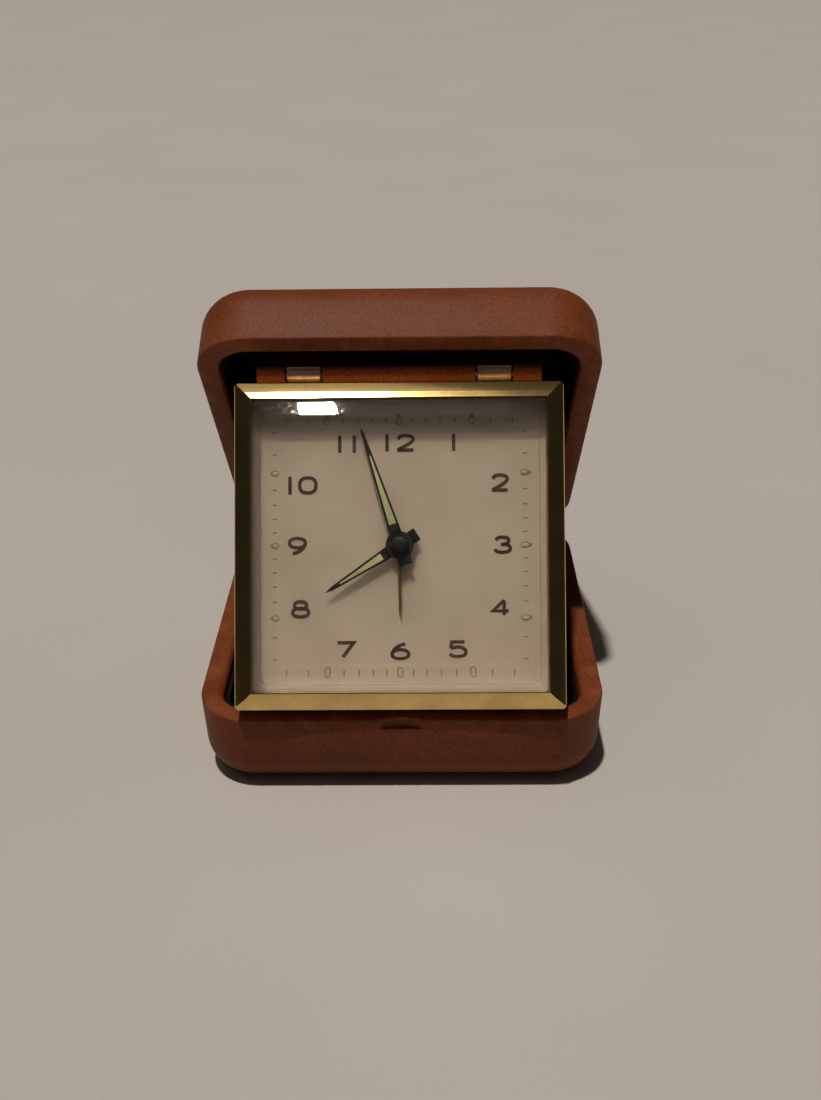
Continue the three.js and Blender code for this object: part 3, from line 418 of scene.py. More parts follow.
def tray(name, matrix, half, corner, depth, wall, floor, slope, rounds, lips, steps,
         middle=(0.0, 0.0), fine=10):
    """Open tray with its rim at z = 0. rounds and lips are (outside, inside)."""
    rings = []

    def ring(inset, z):
        total = inset - slope * z
        rings.append((half[0] - total, half[1] - total, max(corner - total, 0.4), z))

    outside, inside = rounds
    for a in arc(fine):
        ring(outside * (1 - math.sin(a)), -depth + outside * (1 - math.cos(a)))
    for a in arc(3):
        ring(lips[0] * (1 - math.cos(a)), lips[0] * (math.sin(a) - 1))
    for a in arc(5):
        ring(wall - lips[1] * (1 - math.sin(a)), -lips[1] * (1 - math.cos(a)))
    for a in arc(fine):
        ring(wall + inside * (1 - math.cos(a)), floor - depth + inside * (1 - math.sin(a)))
    shift = Matrix.Translation(Vector((*middle, 0)) * MM)
    piece = loft(name, rings, steps, matrix @ shift)
    piece.data.transform(shift)
    piece.matrix_world = matrix
    return piece


def prism(name, outline, low, high, matrix, axis="Z", smooth=35.0):
    """Outline extruded along Z, or drawn in YZ and extruded along X."""
    count = len(outline)
    layers = [(p, level) for level in (low, high) for p in outline]
    verts = [(p[0], p[1], h) if axis == "Z" else (h, p[0], p[1]) for p, h in layers]
    faces = [(i, (i + 1) % count, (i + 1) % count + count, i + count) for i in range(count)]
    faces += [tuple(reversed(range(count))), tuple(range(count, 2 * count))]
    return build(name, verts, faces, matrix, smooth)


def block(x0, x1, y0, y1, z0, z1, matrix):
    return prism("tool", [(x0, y0), (x1, y0), (x1, y1), (x0, y1)], z0, z1, matrix)


def circle(radius, steps, at=(0.0, 0.0)):
    angles = [2 * math.pi * i / steps for i in range(steps)]
    return [(at[0] + radius * math.cos(a), at[1] + radius * math.sin(a)) for a in angles]


def turned(name, profile, matrix, steps=48, axis="Z", at=(0.0, 0.0), smooth=35.0):
    """Solid of revolution from (radius, height) points, closed at both ends."""
    verts, faces = [], []
    for radius, height in profile:
        for x, y in circle(radius, steps, at):
            verts.append((x, y, height) if axis == "Z" else (height, x, y))
    for ring in range(len(profile) - 1):
        for i in range(steps):
            a, b = ring * steps + i, ring * steps + (i + 1) % steps
            faces.append((a, b, b + steps, a + steps))
    faces.append(tuple(reversed(range(steps))))
    faces.append(tuple(range((len(profile) - 1) * steps, len(profile) * steps)))
    return build(name, verts, faces, matrix, smooth)


def rod(name, x0, x1, radius, matrix, at=(0.0, 0.0), edge=0.12, steps=32):
    """Cylinder along X with softened ends."""
    profile = [(radius - edge, x0), (radius, x0 + edge), (radius, x1 - edge), (radius - edge, x1)]
    return turned(name, profile, matrix, steps, "X", at)


def mark(piece, name, rule):
    """Writes a per-point value that the material reads; rule takes a local point in millimetres."""
    layer = piece.data.attributes.new(name, "FLOAT", "POINT")
    layer.data.foreach_set("value", [rule(v.co / MM) for v in piece.data.vertices])


# ---------------------------------------------------------------- case


def hinge_barrel(x, matrix):
    root = Vector((-1.5, -4.2))
    toward = math.atan2(root.y, root.x)
    spread = math.acos(BARREL_RADIUS / root.length)
    steps = 24
    sweep = 2 * math.pi - 2 * spread
    outline = [tuple(root)]
    for i in range(steps + 1):
        angle = toward + spread + sweep * i / steps
        outline.append((BARREL_RADIUS * math.cos(angle), BARREL_RADIUS * math.sin(angle)))
    barrel = prism("tool", outline, x - BARREL_LENGTH / 2, x + BARREL_LENGTH / 2, matrix, "X")
    return soften(barrel, 0.22, 3, 60)


def case_shell(name, matrix, depth, inner_lip, own, others, notched):
    """One shell, rim up in its own frame, with its barrels and the room for the other shell's."""
    shell = tray(name, matrix, (CASE_WIDTH / 2, CASE_LENGTH / 2), CASE_CORNER, depth, RIM_WIDTH, CASE_FLOOR,
                 DRAFT, (EDGE_ROUND, 5.0), (0.45, inner_lip), 14, (0.0, -CASE_MIDDLE))
    half, reach = BARREL_LENGTH / 2 + GAP, BARREL_RADIUS + 0.4
    cuts = [block(x - half, x + half, -reach, 1, -3.4, 1, matrix) for x in others]
    if notched:
        radius, bite = 12.0, 0.9
        front = CASE_MIDDLE + CASE_LENGTH / 2
        cuts.append(prism("tool", circle(radius, 96, (0, -(front + radius - bite))), -2.2, 1, matrix))
    combine(shell, "DIFFERENCE", *cuts)
    soften(shell, 0.16, 2, 50)
    combine(shell, "UNION", *[hinge_barrel(x, matrix) for x in own])
    combine(shell, "DIFFERENCE", prism("tool", circle(CASE_PIN_RADIUS + 0.05, 24), -42, 42, matrix, "X"))

    def near_rim(point):
        return max(0.0, 1 - abs(point.z) / 1.6)

    mark(shell, "edge", near_rim)
    return shell


def case_lining(name, matrix, depth, brackets):
    below = 1.7
    inset = RIM_WIDTH + GAP + DRAFT * below
    thickness = 0.8
    lining = tray(name, matrix @ Matrix.Translation((0, 0, -below * MM)),
                  (CASE_WIDTH / 2 - inset, CASE_LENGTH / 2 - inset), CASE_CORNER - inset,
                  depth - CASE_FLOOR - GAP - below, thickness, thickness, DRAFT, (4.7, 4.0), (0.2, 0.2), 12,
                  (0.0, -CASE_MIDDLE), 8)
    half, low = KNUCKLE_LENGTH / 2 + GAP, -BRACKET_DEPTH - GAP
    free_edge = -(CASE_MIDDLE + CASE_LENGTH / 2)
    rooms = [block(x - half, x + half, free_edge, free_edge + 8, low, 0, matrix) for x in brackets]
    return combine(lining, "DIFFERENCE", *rooms)


def case_parts():
    lower = case_shell("case_lower", IN_LOWER, LOWER_DEPTH, 1.5, LOWER_BARRELS, UPPER_BARRELS, True)
    finish_piece(lower, "base", BROWN, ["lower_shell"])
    upper = case_shell("case_upper", IN_UPPER, UPPER_DEPTH, 0.5, UPPER_BARRELS, LOWER_BARRELS, False)
    finish_piece(upper, "lid", BROWN, ["upper_shell"])
    lining = case_lining("lining_lower", IN_LOWER, LOWER_DEPTH, [])
    finish_piece(lining, "base", LINING, ["lower_liner"])
    lining = case_lining("lining_upper", IN_UPPER, UPPER_DEPTH, [-KNUCKLE_X, KNUCKLE_X])
    finish_piece(lining, "lid", LINING, ["upper_liner"])
    for side, start in (("left", -34.4), ("right", 12.6)):
        pin = rod(f"case_pin_{side}", start, start + 21.8, CASE_PIN_RADIUS, IN_LOWER)
        finish_piece(pin, "base", STEEL, [f"case_hinge_pin_{side}"])


# ---------------------------------------------------------------- clock hinge


def hinge_bracket(side, name):
    """Satin knuckle with its arm painted black as painted shade, inside the upper shell's free edge."""
    x0 = side * KNUCKLE_X - KNUCKLE_LENGTH / 2
    x1 = x0 + KNUCKLE_LENGTH
    axis_y, axis_z = -CLOCK_HINGE_U, -CLOCK_HINGE_OUT
    back = -(CASE_MIDDLE + CASE_LENGTH / 2 - RIM_WIDTH) + GAP + 0.35
    knuckle = rod(name, x0, x1, KNUCKLE_RADIUS, IN_LID, (axis_y, axis_z), 0.2, 40)
    outline = [
        (axis_y - KNUCKLE_RADIUS * 0.85, axis_z), (axis_y + 0.2, axis_z + KNUCKLE_RADIUS * 0.9),
        (back + 1, 2), (back + 1, BRACKET_DEPTH), (back, BRACKET_DEPTH), (back, 0.4),
    ]
    arm = soften(prism("tool", outline, x0, x1, IN_LID, "X"), 0.15, 2)
    combine(knuckle, "UNION", arm)
    bore = prism("tool", circle(CLOCK_PIN_RADIUS + 0.1, 24, (axis_y, axis_z)), x0 - 1, x1 + 1, IN_LID, "X")
    combine(knuckle, "DIFFERENCE", bore)

    # Painted shade: the arm beyond the knuckle is marked dark so it shows black like the shaded cavity.
    def blackened(point):
        past_barrel = math.dist((point.y, point.z), (axis_y, axis_z)) - KNUCKLE_RADIUS
        return min(1.0, max(0.0, (past_barrel - 0.05) / 0.25))

    mark(knuckle, "dark", blackened)
    return knuckle


def clock_hinge_parts():
    for side, name in ((-1, "left"), (1, "right")):
        bracket = hinge_bracket(side, f"knuckle_{name}")
        finish_piece(bracket, "lid", KNUCKLE, [f"hinge_bracket_{name}"])
    pin = rod("clock_pin", 0.4 - RAIL_HALF, RAIL_HALF - 0.4, CLOCK_PIN_RADIUS, IN_LID,
              (-CLOCK_HINGE_U, -CLOCK_HINGE_OUT))
    finish_piece(pin, "lid", STEEL, ["clock_hinge_pin"])


# ---------------------------------------------------------------- clock housing


def regulator_slot():
    reach, width, end = 6.2, 0.9, math.radians(15 + 10.3)
    steps = 16
    angles = [-end + 2 * end * i / steps for i in range(steps + 1)]
    outline = [((reach + width) * math.cos(a), (reach + width) * math.sin(a)) for a in angles]
    outline += [((reach - width) * math.cos(a), (reach - width) * math.sin(a)) for a in reversed(angles)]
    moved = [(x + BALANCE[0], y + BALANCE[1]) for x, y in outline]
    return prism("tool", moved, REAR_FACE - 1, -9, IN_FACE)


def clock_housing():
    corner, wall, back = 2.4, 1.5, 1.4
    shell = tray("housing", IN_FACE @ Matrix.Translation((0, 0, -GAP * MM)), (HOUSING_HALF, HOUSING_HALF),
                 corner, HOUSING_DEPTH, wall, back, 0.0, (2.0, 0.6), (0.2, 0.2), 8, fine=6)
    top = HOUSING_HALF - 1.3
    start, end = math.radians(236), math.radians(194) + 2 * math.pi
    steps = 28
    web = [(top, -3.2), (CLOCK_CENTRE - 0.9, -1.3)]
    for i in range(steps + 1):
        angle = start + (end - start) * i / steps
        web.append((CLOCK_CENTRE + KNUCKLE_RADIUS * math.cos(angle), KNUCKLE_RADIUS * math.sin(angle)))
    web.append((top, -0.5))
    rail = prism("tool", web, -RAIL_HALF, RAIL_HALF, IN_FACE, "X")
    half = KNUCKLE_LENGTH / 2 + GAP
    combine(rail, "DIFFERENCE", *[
        block(x - half, x + half, HOUSING_HALF + 0.5, CLOCK_CENTRE + 3, -4, 3, IN_FACE)
        for x in (-KNUCKLE_X, KNUCKLE_X)
    ])
    soften(rail, 0.18, 2, 50)
    combine(shell, "UNION", rail)
    through = (REAR_FACE - 1, -5)
    holes = [
        prism("tool", circle(CLOCK_PIN_RADIUS + 0.1, 20, (CLOCK_CENTRE, 0)), -30, 30, IN_FACE, "X"),
        prism("tool", circle(0.9 + GAP, 28, (-1, -5.6)), -HOUSING_HALF - 1, -HOUSING_HALF + 4, IN_FACE, "X"),
        regulator_slot(),
    ]
    for at, radius in (((0, 0), 0.7), (ALARM_SET, 0.9), (TIME_BARREL, 1.5), (ALARM_BARREL, 1.5)):
        holes.append(prism("tool", circle(radius, 32, at), *through, IN_FACE))
    holes += [prism("tool", circle(1.3, 28, at), *through, IN_FACE) for at in SCREWS.values()]
    combine(shell, "DIFFERENCE", *holes)
    mark(shell, "edge", lambda point: 0.0)
    return finish_piece(shell, "clock", HOUSING_BROWN_PAINTED_LIGHT, ["clock_housing"])


# ---------------------------------------------------------------- bezel and crystal


def bezel():
    """Square gilt frame: a rounded edge, the main facet and a flatter one up to the sight edge, mitred."""
    rebate_top, front = 3.2, 5.4
    profile = [
        (0.25, 0), (0, 0.3), (0, 3.4), (0.06, 3.65), (0.2, 3.84), (0.42, 3.98), (2.08, 4.92), (2.2, 4.98),
        (2.34, 5.03), (BEZEL_WIDTH - 0.16, front), (BEZEL_WIDTH - 0.04, front), (BEZEL_WIDTH, front - 0.1),
        (BEZEL_WIDTH, rebate_top), (BEZEL_REBATE, rebate_top), (BEZEL_REBATE, 0),
    ]
    verts, faces, steps = [], [], 6
    count = 4 * (steps + 1)
    for inset, z in profile:
        outline = rounded_outline(BEZEL_X - inset, BEZEL_Y - inset, max(0.9 - inset, 0.12), steps)
        verts += [(x, y, z) for x, y in outline]
    for ring in range(len(profile)):
        for i in range(count):
            after, nxt = (ring + 1) % len(profile) * count, (i + 1) % count
            faces.append((ring * count + i, ring * count + nxt, after + nxt, after + i))
    piece = build("bezel_frame", verts, faces, IN_FACE, 9)
    return finish_piece(piece, "clock", GILT, ["bezel"])


def crystal():
    """Clear shallow box with a sloped border that rounds into the flat front."""
    flange, sight, uneven = BEZEL_X - BEZEL_REBATE - GAP, BEZEL_X - BEZEL_WIDTH - GAP, BEZEL_X - BEZEL_Y
    wall, shoulder, slope, flange_low, flange_high = 1.5, 5.2, 0.43, 1.2, 2.9
    inner, steep = sight - wall, shoulder - 0.2
    outside = [(0, steep), (0.05, steep + 0.12), (0.2, steep + 0.22)]
    outside += [(0.2 + run, steep + 0.22 + run * slope) for run in (0.3, 0.5, 1.0, 2.0, 2.7, 2.9)]
    outside += [(3.4, 6.57), (3.9, 6.66), (4.6, 6.72), (6.3, 6.74)]
    rings = [(sight - 9.5, 3.0, shoulder), (sight - 6.6, 2.6, 5.16), (sight - 5.2, 2.0, 5.0)]
    rings += [(inner, 1.0, shoulder - wall + 0.35), (inner, 1.0, flange_low)]
    rings += [(flange, 0.6, flange_low), (flange, 0.6, flange_high), (sight, 0.8, flange_high)]
    rings += [(sight - inset, 0.8 + inset * 0.3, z) for inset, z in outside]
    full = [(half, half - uneven, radius, z) for half, radius, z in rings]
    piece = loft("crystal_clear", full, 10, IN_FACE, 28)
    border = sight - 0.8

    def edge(point):
        return 1.0 if max(abs(point.x), abs(point.y) + uneven) > border else 0.0

    mark(piece, "edge", edge)
    return finish_piece(piece, "clock", CRYSTAL, ["crystal"])


# ---------------------------------------------------------------- dial

DIGIT_X, DIGIT_Y, STROKE, INK_HEIGHT = 1.58, 1.45, 0.7, 0.05
TRACK_HALF = 24.3


def oval(cx, cy, rx, ry, power=2.3, steps=36):
    points = []
    for i in range(steps):
        a = 2 * math.pi * i / steps
        c, s = math.cos(a), math.sin(a)
        points.append((
            cx + rx * math.copysign(abs(c) ** (2 / power), c),
            cy + ry * math.copysign(abs(s) ** (2 / power), s),
        ))
    return points


def smooth_line(points, steps=8):
    """Catmull-Rom line through points."""
    ends = [points[0], *points, points[-1]]
    out = []
    for a, b, c, d in zip(ends, ends[1:], ends[2:], ends[3:]):
        for i in range(steps):
            t = i / steps
            out.append(tuple(
                q + 0.5 * t * (r - p + t * (2 * p - 5 * q + 4 * r - s + t * (3 * q - p - 3 * r + s)))
                for p, q, r, s in zip(a, b, c, d)
            ))
    return [*out, tuple(points[-1])]


def digit_strokes(digit):
    """Centre lines of a plain wide numeral in a cell from -1 to 1: (points, closed)."""
    two = [(-0.9, 0.5), (-0.6, 0.9), (0.1, 1), (0.8, 0.82), (0.9, 0.35), (0.3, -0.25), (-0.95, -0.98)]
    three_top = [(-0.85, 0.62), (-0.5, 0.94), (0.1, 1), (0.72, 0.84), (0.78, 0.4), (0.4, 0.1), (-0.2, 0.04)]
    three_foot = [(-0.2, 0.04), (0.55, 0.02), (1, -0.35), (0.82, -0.84), (0.1, -1), (-0.6, -0.92),
                  (-0.98, -0.6)]
    five = [(-0.82, 0.1), (-0.2, 0.3), (0.5, 0.24), (0.98, -0.2), (0.85, -0.78), (0.15, -1), (-0.55, -0.94),
            (-0.98, -0.66)]
    six = [(0.62, 1), (0.1, 0.9), (-0.55, 0.5), (-0.95, -0.1), (-0.98, -0.4)]
    shapes = {
        "0": [(oval(0, 0, 1, 1, 2.5), True)],
        "1": [([(0, -1.2), (0, 1.2)], False)],
        "2": [(smooth_line(two), False), ([(-1, -1), (1, -1)], False)],
        "3": [(smooth_line(three_top), False), (smooth_line(three_foot), False)],
        "4": [([(0.42, 1), (-1, -0.42), (1, -0.42)], False), ([(0.42, 1), (0.42, -1)], False)],
        "5": [([(0.85, 1), (-0.7, 1), (-0.82, 0.1)], False), (smooth_line(five), False)],
        "6": [(smooth_line(six), False), (oval(0, -0.38, 1, 0.62), True)],
        "7": [([(-1, 0.98), (0.98, 0.98), (-0.35, -1)], False)],
        "8": [(oval(0, 0.52, 0.76, 0.48), True), (oval(0, -0.44, 1, 0.56), True)],
    }
    shapes["9"] = [([(-x, -y) for x, y in line], closed) for line, closed in shapes["6"]]
    return shapes[digit]


def ribbon(points, closed, width, low, high):
    """Flat strip of even width along a line, as a closed solid: (verts, faces)."""
    count = len(points)
    verts, faces = [], []
    for i, (x, y) in enumerate(points):
        before = points[i - 1] if closed or i else points[0]
        after = points[(i + 1) % count] if closed or i < count - 1 else points[-1]
        a, b = Vector((x - before[0], y - before[1])), Vector((after[0] - x, after[1] - y))
        a = (a if a.length > 1e-9 else b).normalized()
        b = (b if b.length > 1e-9 else a).normalized()
        side = Vector((-(a.y + b.y), a.x + b.x)).normalized()
        reach = width / 2 / max(side.dot(Vector((-a.y, a.x))), 0.45)
        for sign in (1, -1):
            for z in (low, high):
                verts.append((x + sign * side.x * reach, y + sign * side.y * reach, z))
    for i in range(count if closed else count - 1):
        p, q = 4 * i, 4 * ((i + 1) % count)
        faces += [(p, q, q + 1, p + 1), (p + 1, q + 1, q + 3, p + 3)]
        faces += [(p + 3, q + 3, q + 2, p + 2), (p + 2, q + 2, q, p)]
    if not closed:
        last = 4 * (count - 1)
        faces += [(0, 1, 3, 2), (last, last + 2, last + 3, last + 1)]
    return verts, faces


NUMERALS = {
    "12": (0.0, 19.9), "1": (10.5, 19.9), "2": (19.4, 12.0), "3": (19.8, 0.0), "4": (19.4, -12.1),
    "5": (11.0, -20.1), "6": (0.0, -20.5), "7": (-10.5, -20.1), "8": (-19.2, -12.2), "9": (-19.8, 0.0),
    "10": (-18.9, 11.7), "11": (-10.1, 19.7),
}
ADVANCE = {"1": 0.75, "11": 1.4}


def numerals():
    verts, faces = [], []
    for text, (x, y) in NUMERALS.items():
        widths = [ADVANCE.get("11" if text == "11" else digit, DIGIT_X + STROKE / 2) for digit in text]
        gap = 0.85 if text in ("10", "12") else 0.0
        total = 2 * sum(widths) + gap
        at = x - total / 2
        for digit, half in zip(text, widths):
            for line, closed in digit_strokes(digit):
                points = [(at + half + px * DIGIT_X, y + py * DIGIT_Y) for px, py in line]
                made, sides = ribbon(points, closed, STROKE, DIAL_FRONT - 0.01, DIAL_FRONT + INK_HEIGHT)
                faces += [tuple(i + len(verts) for i in side) for side in sides]
                verts += made
            at += 2 * half + gap
    return finish_piece(build("dial_numerals", verts, faces, IN_FACE), "clock", INK)


def square_point(minute, half):
    angle = math.radians(6 * minute)
    s, c = math.sin(angle), math.cos(angle)
    reach = half / max(abs(s), abs(c))
    return reach * s, reach * c


def minute_track():
    verts, faces = [], []
    for minute in range(60):
        if minute % 5 == 0:
            continue
        x, y = square_point(minute, TRACK_HALF)
        along = Vector((0, 1)) if abs(y) > abs(x) else Vector((1, 0))
        ends = [(x - along.x * 0.3, y - along.y * 0.3), (x + along.x * 0.3, y + along.y * 0.3)]
        made, sides = ribbon(ends, False, 0.26, DIAL_FRONT - 0.01, DIAL_FRONT + INK_HEIGHT)
        faces += [tuple(i + len(verts) for i in side) for side in sides]
        verts += made
    finish_piece(build("dial_minute_track", verts, faces, IN_FACE), "clock", RING)
    rims, dots = [], []
    for hour in range(12):
        at = square_point(5 * hour, TRACK_HALF - 0.1)
        rims.append(turned("tool", [(0.62, 0.79), (0.62, 0.84)], IN_FACE, 24, at=at))
        dots.append(turned("tool", [(0.44, 0.8), (0.44, 0.87), (0.3, 0.93), (0.1, 0.95)], IN_FACE, 24, at=at))
    finish_piece(merged("dial_hour_rings", rims), "clock", RING)
    finish_piece(merged("dial_hour_dots", dots), "clock", DOT)


def dial():
    outline = rounded_outline(DIAL_HALF, DIAL_HALF, 1.0, 6)
    plate = prism("dial_plate", outline, DIAL_FRONT - 0.4, DIAL_FRONT, IN_FACE)
    combine(plate, "DIFFERENCE", prism("tool", circle(2.25, 40), -1, 2, IN_FACE))
    finish_piece(plate, "clock", DIAL_CREAM_PAINTED_SHADE, ["dial"])
    numerals()
    minute_track()


# ---------------------------------------------------------------- hands


def hand_profile(length, width, tip_width, tail):
    half, end, shoulder = width / 2, tip_width / 2, length - 2 * tip_width
    right = [(half, -tail), (half, 0), (end, shoulder)] if tail else [(half, 0), (end, shoulder)]
    return [*right, (0, length), *[(-x, y) for x, y in reversed(right)]]


def hand(name, body, node, degrees, size, hub, bore, low, inlay=None):
    """Tapered hand along +Y with a round hub, a squared tail and a pale inlay from inlay[0] to inlay[1]."""
    length, width, tip_width, tail = size
    turn = IN_FACE @ Matrix.Rotation(math.radians(-degrees), 4, "Z")
    high = low + HAND_THICKNESS
    blade = prism(name, hand_profile(*size), low, high, turn)
    boss = turned("tool", [(hub, low), (hub, high - 0.06), (hub - 0.06, high), (bore, high)], turn, 56)
    combine(blade, "UNION", boss)
    combine(blade, "DIFFERENCE", prism("tool", circle(bore, 40), low - 1, high + 1, turn))
    if inlay:
        start, end = inlay
        taper = (width - tip_width) / (length - 2 * tip_width)

        def window(rail):
            near, far = [max((width - taper * y) / 2 - rail, 0.12) for y in (start, end)]
            return [(near, start), (far, end), (-far, end), (-near, start)]

        combine(blade, "DIFFERENCE", prism("tool", window(0.4), low - 0.1, high + 0.3, turn))
        lume = soften(prism(f"{name}_lume", window(0.39), low + 0.03, high - 0.02, turn), 0.05, 2)
        finish_piece(lume, body, LUME)
    soften(blade, 0.05, 2, 40)

    def darkness(point):
        return float(not inlay[0] + 0.15 < point.y < inlay[1] - 0.15)

    mark(blade, "dark", darkness if inlay else lambda point: 0.0)
    return finish_piece(blade, body, HAND, [node])


def hands():
    alarm, hour, minute = (13.8, 0.8, 0.5, 0), (17.0, 2.6, 0.8, 4.0), (23.8, 2.6, 0.6, 4.0)
    hand("alarm_pointer", "alarm_drive", "alarm_hand", 180, alarm, 2.4, 1.75, 1.5)
    hand("hour_pointer", "hour_drive", "hour_hand", 237.5, hour, 2.7, 1.25, 2.3, (4.0, 13.6))
    hand("minute_pointer", "minute_drive", "minute_hand", 342, minute, 2.6, 0.7, 3.15, (4.2, 18.0))
    profile = [(1.55, 3.75), (1.6, 3.82), (1.6, 4.1), (1.5, 4.28), (1.15, 4.47), (0.6, 4.57), (0.05, 4.6)]
    nut = turned("hand_nut_cap", profile, IN_FACE, 40)
    finish_piece(nut, "minute_drive", BLACK, ["hand_nut"])


# ---------------------------------------------------------------- controls on the back


def winding_key(name, body, stands_for, at):
    place = IN_FACE @ Matrix.Translation(Vector((*at, REAR_FACE - GAP)) * MM)
    hub = turned(name, [(2.3, 0), (2.42, -0.1), (2.55, -1.85), (2.4, -2)], place, 48)
    reach, lobe = 4.2, 1.5
    outline = []
    for sign in (1, -1):
        first = -90 if sign > 0 else 90
        for i in range(15):
            angle = math.radians(first + 180 * i / 14)
            height = lobe - CONTROL_HEIGHT + lobe * math.sin(angle)
            outline.append((sign * reach + lobe * math.cos(angle), height))
        outline.append((sign * 1.4, -0.4))
    blade = prism("tool", outline, -0.7, 0.7, place @ Matrix.Rotation(math.pi / 2, 4, "X"))
    blade.data.transform(Matrix.Rotation(math.pi / 2, 4, "X"))
    blade.matrix_world = place
    soften(blade, 0.28, 3)
    combine(hub, "UNION", blade)
    combine(hub, "DIFFERENCE", prism("tool", circle(1.3, 32), -1.6, 1, place))
    soften(hub, 0.08, 2, 45)
    return finish_piece(hub, body, GILT, [stands_for])


def knurled_knob(name, body, stands_for, at, radius, bore):
    place = IN_FACE @ Matrix.Translation(Vector((*at, REAR_FACE - GAP)) * MM)
    ridges, parts = 30, 6
    outline = []
    for i in range(ridges * parts):
        angle = 2 * math.pi * i / (ridges * parts)
        size = radius - 0.13 + 0.13 * math.cos(ridges * angle)
        outline.append((size * math.cos(angle), size * math.sin(angle)))
    levels = [(0.86, 0), (0.97, -0.12), (1, -0.4)]
    levels += [(1, 0.5 - CONTROL_HEIGHT), (0.95, 0.12 - CONTROL_HEIGHT), (0.8, -CONTROL_HEIGHT)]
    verts = [(x * share, y * share, z) for share, z in levels for x, y in outline]
    count = len(outline)
    faces = [tuple(reversed(range(count))), tuple(range((len(levels) - 1) * count, len(levels) * count))]
    for ring in range(len(levels) - 1):
        for i in range(count):
            a, b = ring * count + i, ring * count + (i + 1) % count
            faces.append((a, b, b + count, a + count))
    knob = build(name, verts, faces, place, 30)
    combine(knob, "DIFFERENCE", prism("tool", circle(bore, 28), -1.9, 1, place))
    return finish_piece(knob, body, GILT, [stands_for])


def back_screw(name, stands_for, at):
    seat, shank, head = REAR_FACE - GAP, 1.0, 1.8
    top = seat - 0.8
    profile = [(shank, -8.4), (shank, seat - 0.01), (head, seat)]
    profile += [(head, top + 0.3), (1.62, top + 0.07), (1.3, top)]
    screw = turned(name, profile, IN_FACE, 40, at=at)
    x, y = at
    combine(screw, "DIFFERENCE", block(x - 2.2, x + 2.2, y - 0.25, y + 0.25, top - 0.3, top + 0.5, IN_FACE))
    soften(screw, 0.05, 2, 45)
    return finish_piece(screw, "clock", STEEL, [stands_for])


def back_controls():
    winding_key("time_key", "time_winder", "time_winding_key", TIME_BARREL)
    winding_key("alarm_key", "alarm_winder", "alarm_winding_key", ALARM_BARREL)
    knurled_knob("time_knob", "minute_drive", "time_set_knob", (0.0, 0.0), 3.2, 0.7)
    knurled_knob("alarm_knob", "alarm_setter", "alarm_set_knob", ALARM_SET, 2.8, 0.9)
    for node, at in SCREWS.items():
        back_screw(node.replace("back_screw", "case_screw"), node, at)
    stem, collar = 0.9, 1.7
    profile = [(0.55, -32.1), (0.8, -32.0), (stem, -31.8), (stem, -26.95)]
    profile += [(collar, -26.9), (collar, -25.9), (stem, -25.85), (0.85, -24.8)]
    button = turned("stop_button", profile, IN_FACE, 36, "X", (-1.0, -5.6))
    finish_piece(button, "alarm_stop", BLACK, ["alarm_stop_button"])


# ---------------------------------------------------------------- movement, kept from the CAD

FINISHES = {"steel": STEEL, "blued_steel": BLUED, "brass": BRASS, "black_enamel": BLACK, "gilt": GILT}


def movement():
    slots = {row["node"]: row["material_slot"] for row in frame["record"]["subparts"]}
    for name, node in frame["nodes"].items():
        if node.hide_render:
            continue
        node.data.materials.clear()
        node.data.materials.append(FINISHES[slots[name]])


# ---------------------------------------------------------------- studio


CAMERA_AT, LENS, SENSOR = (5.0, -218.4, 154.5), 38.1273, 36.0
CAMERA_YAW, CAMERA_PITCH, CAMERA_ROLL = (math.radians(angle) for angle in (-0.86, 29.23, -0.77))


def camera():
    yaw, pitch, roll = CAMERA_YAW, CAMERA_PITCH, CAMERA_ROLL
    forward = Vector((math.sin(yaw) * math.cos(pitch), math.cos(yaw) * math.cos(pitch), -math.sin(pitch)))
    right = Vector((math.cos(yaw), -math.sin(yaw), 0))
    up = right.cross(forward)
    right, up = (
        math.cos(roll) * right + math.sin(roll) * up,
        -math.sin(roll) * right + math.cos(roll) * up,
    )
    data = bpy.data.cameras.new("camera")
    data.sensor_width, data.lens = SENSOR, LENS
    data.clip_start, data.clip_end = 0.01, 50.0
    item = bpy.data.objects.new("camera", data)
    item.matrix_world = placed(Vector(CAMERA_AT) * MM, right, up, -forward)
    bpy.context.scene.collection.objects.link(item)
    bpy.context.scene.camera = item


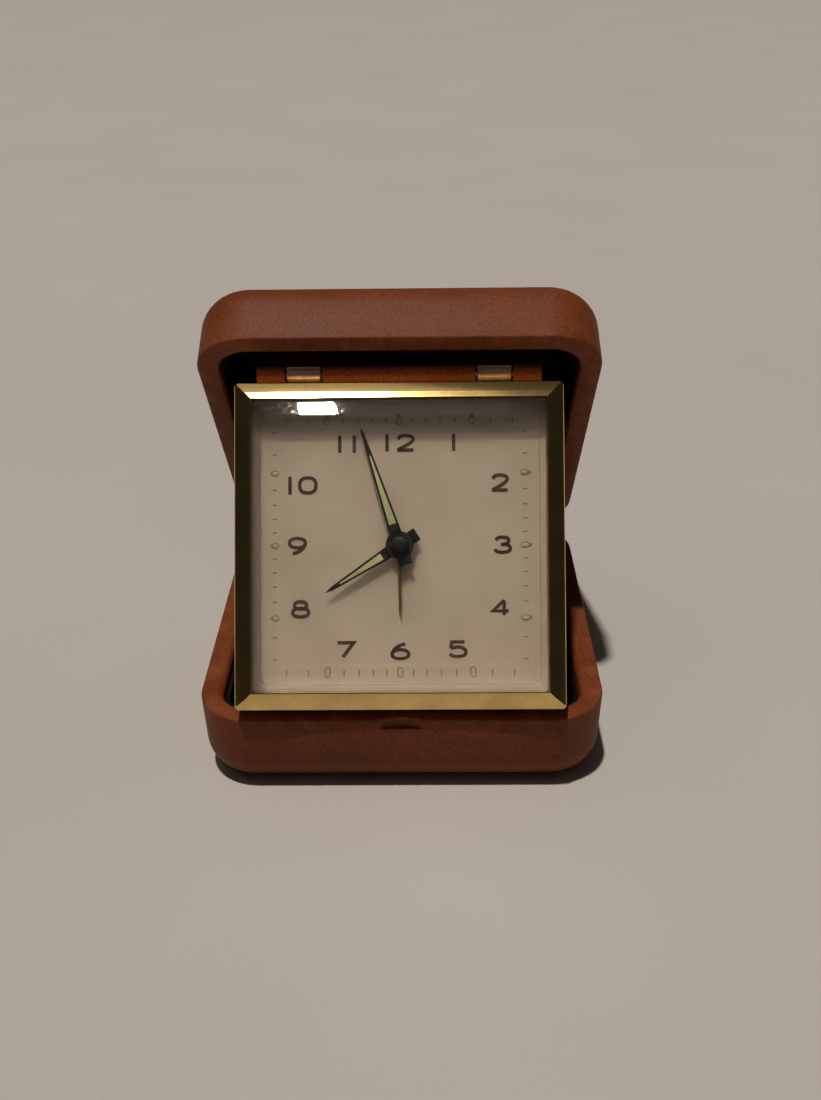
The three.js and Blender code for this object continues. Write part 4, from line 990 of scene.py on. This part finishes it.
def aim(item, towards):
    item.rotation_mode = "QUATERNION"
    item.rotation_quaternion = Vector(towards).to_track_quat("Z", "Y")


def lights():
    """One small warm lamp high above, a little in front, and a large faint glow to its left."""
    key = bpy.data.objects.new("key_light", bpy.data.lights.new("key_light", "SUN"))
    key.data.energy, key.data.angle, key.data.color = 2.25, math.radians(2.2), (1.0, 0.92, 0.83)
    aim(key, (-0.108, -0.1, 1))
    glow = bpy.data.objects.new("glow_light", bpy.data.lights.new("glow_light", "AREA"))
    glow.data.shape, glow.data.size = "DISK", 1.3
    glow.data.energy, glow.data.color = 1.2, (1.0, 0.9, 0.8)
    glow.location = (-0.45, -0.15, 1.5)
    aim(glow, glow.location)
    for item in (key, glow):
        bpy.context.scene.collection.objects.link(item)


def surroundings():
    """Dim warm room: a little light from above, darker to the sides."""
    world = bpy.data.worlds.new("room")
    bpy.context.scene.world = world
    world.use_nodes = True
    nodes, links = world.node_tree.nodes, world.node_tree.links
    background = nodes["Background"]
    split = nodes.new("ShaderNodeSeparateXYZ")
    links.new(nodes.new("ShaderNodeTexCoord").outputs["Generated"], split.inputs[0])
    side = nodes.new("ShaderNodeMath")
    side.operation = "ABSOLUTE"
    links.new(split.outputs["X"], side.inputs[0])
    ramp = nodes.new("ShaderNodeMapRange")
    ramp.interpolation_type = "SMOOTHSTEP"
    for key, value in {"From Min": 0.2, "From Max": 0.75, "To Min": 0.05, "To Max": 0.02}.items():
        ramp.inputs[key].default_value = value
    links.new(side.outputs[0], ramp.inputs["Value"])
    links.new(ramp.outputs["Result"], background.inputs["Strength"])
    background.inputs["Color"].default_value = (1.0, 0.92, 0.85, 1.0)


def floor():
    half = 6000.0
    steps = [-half, half]
    verts = [(x, y, 0.0) for y in steps for x in steps]
    ground = build("floor", verts, [(0, 1, 3, 2)], Matrix.Identity(4))
    ground.data.materials.append(floor_finish())


bpy.context.scene.view_settings.view_transform = "Standard"
camera()
lights()
surroundings()
floor()
case_parts()
clock_hinge_parts()
clock_housing()
bezel()
crystal()
dial()
hands()
back_controls()
movement()
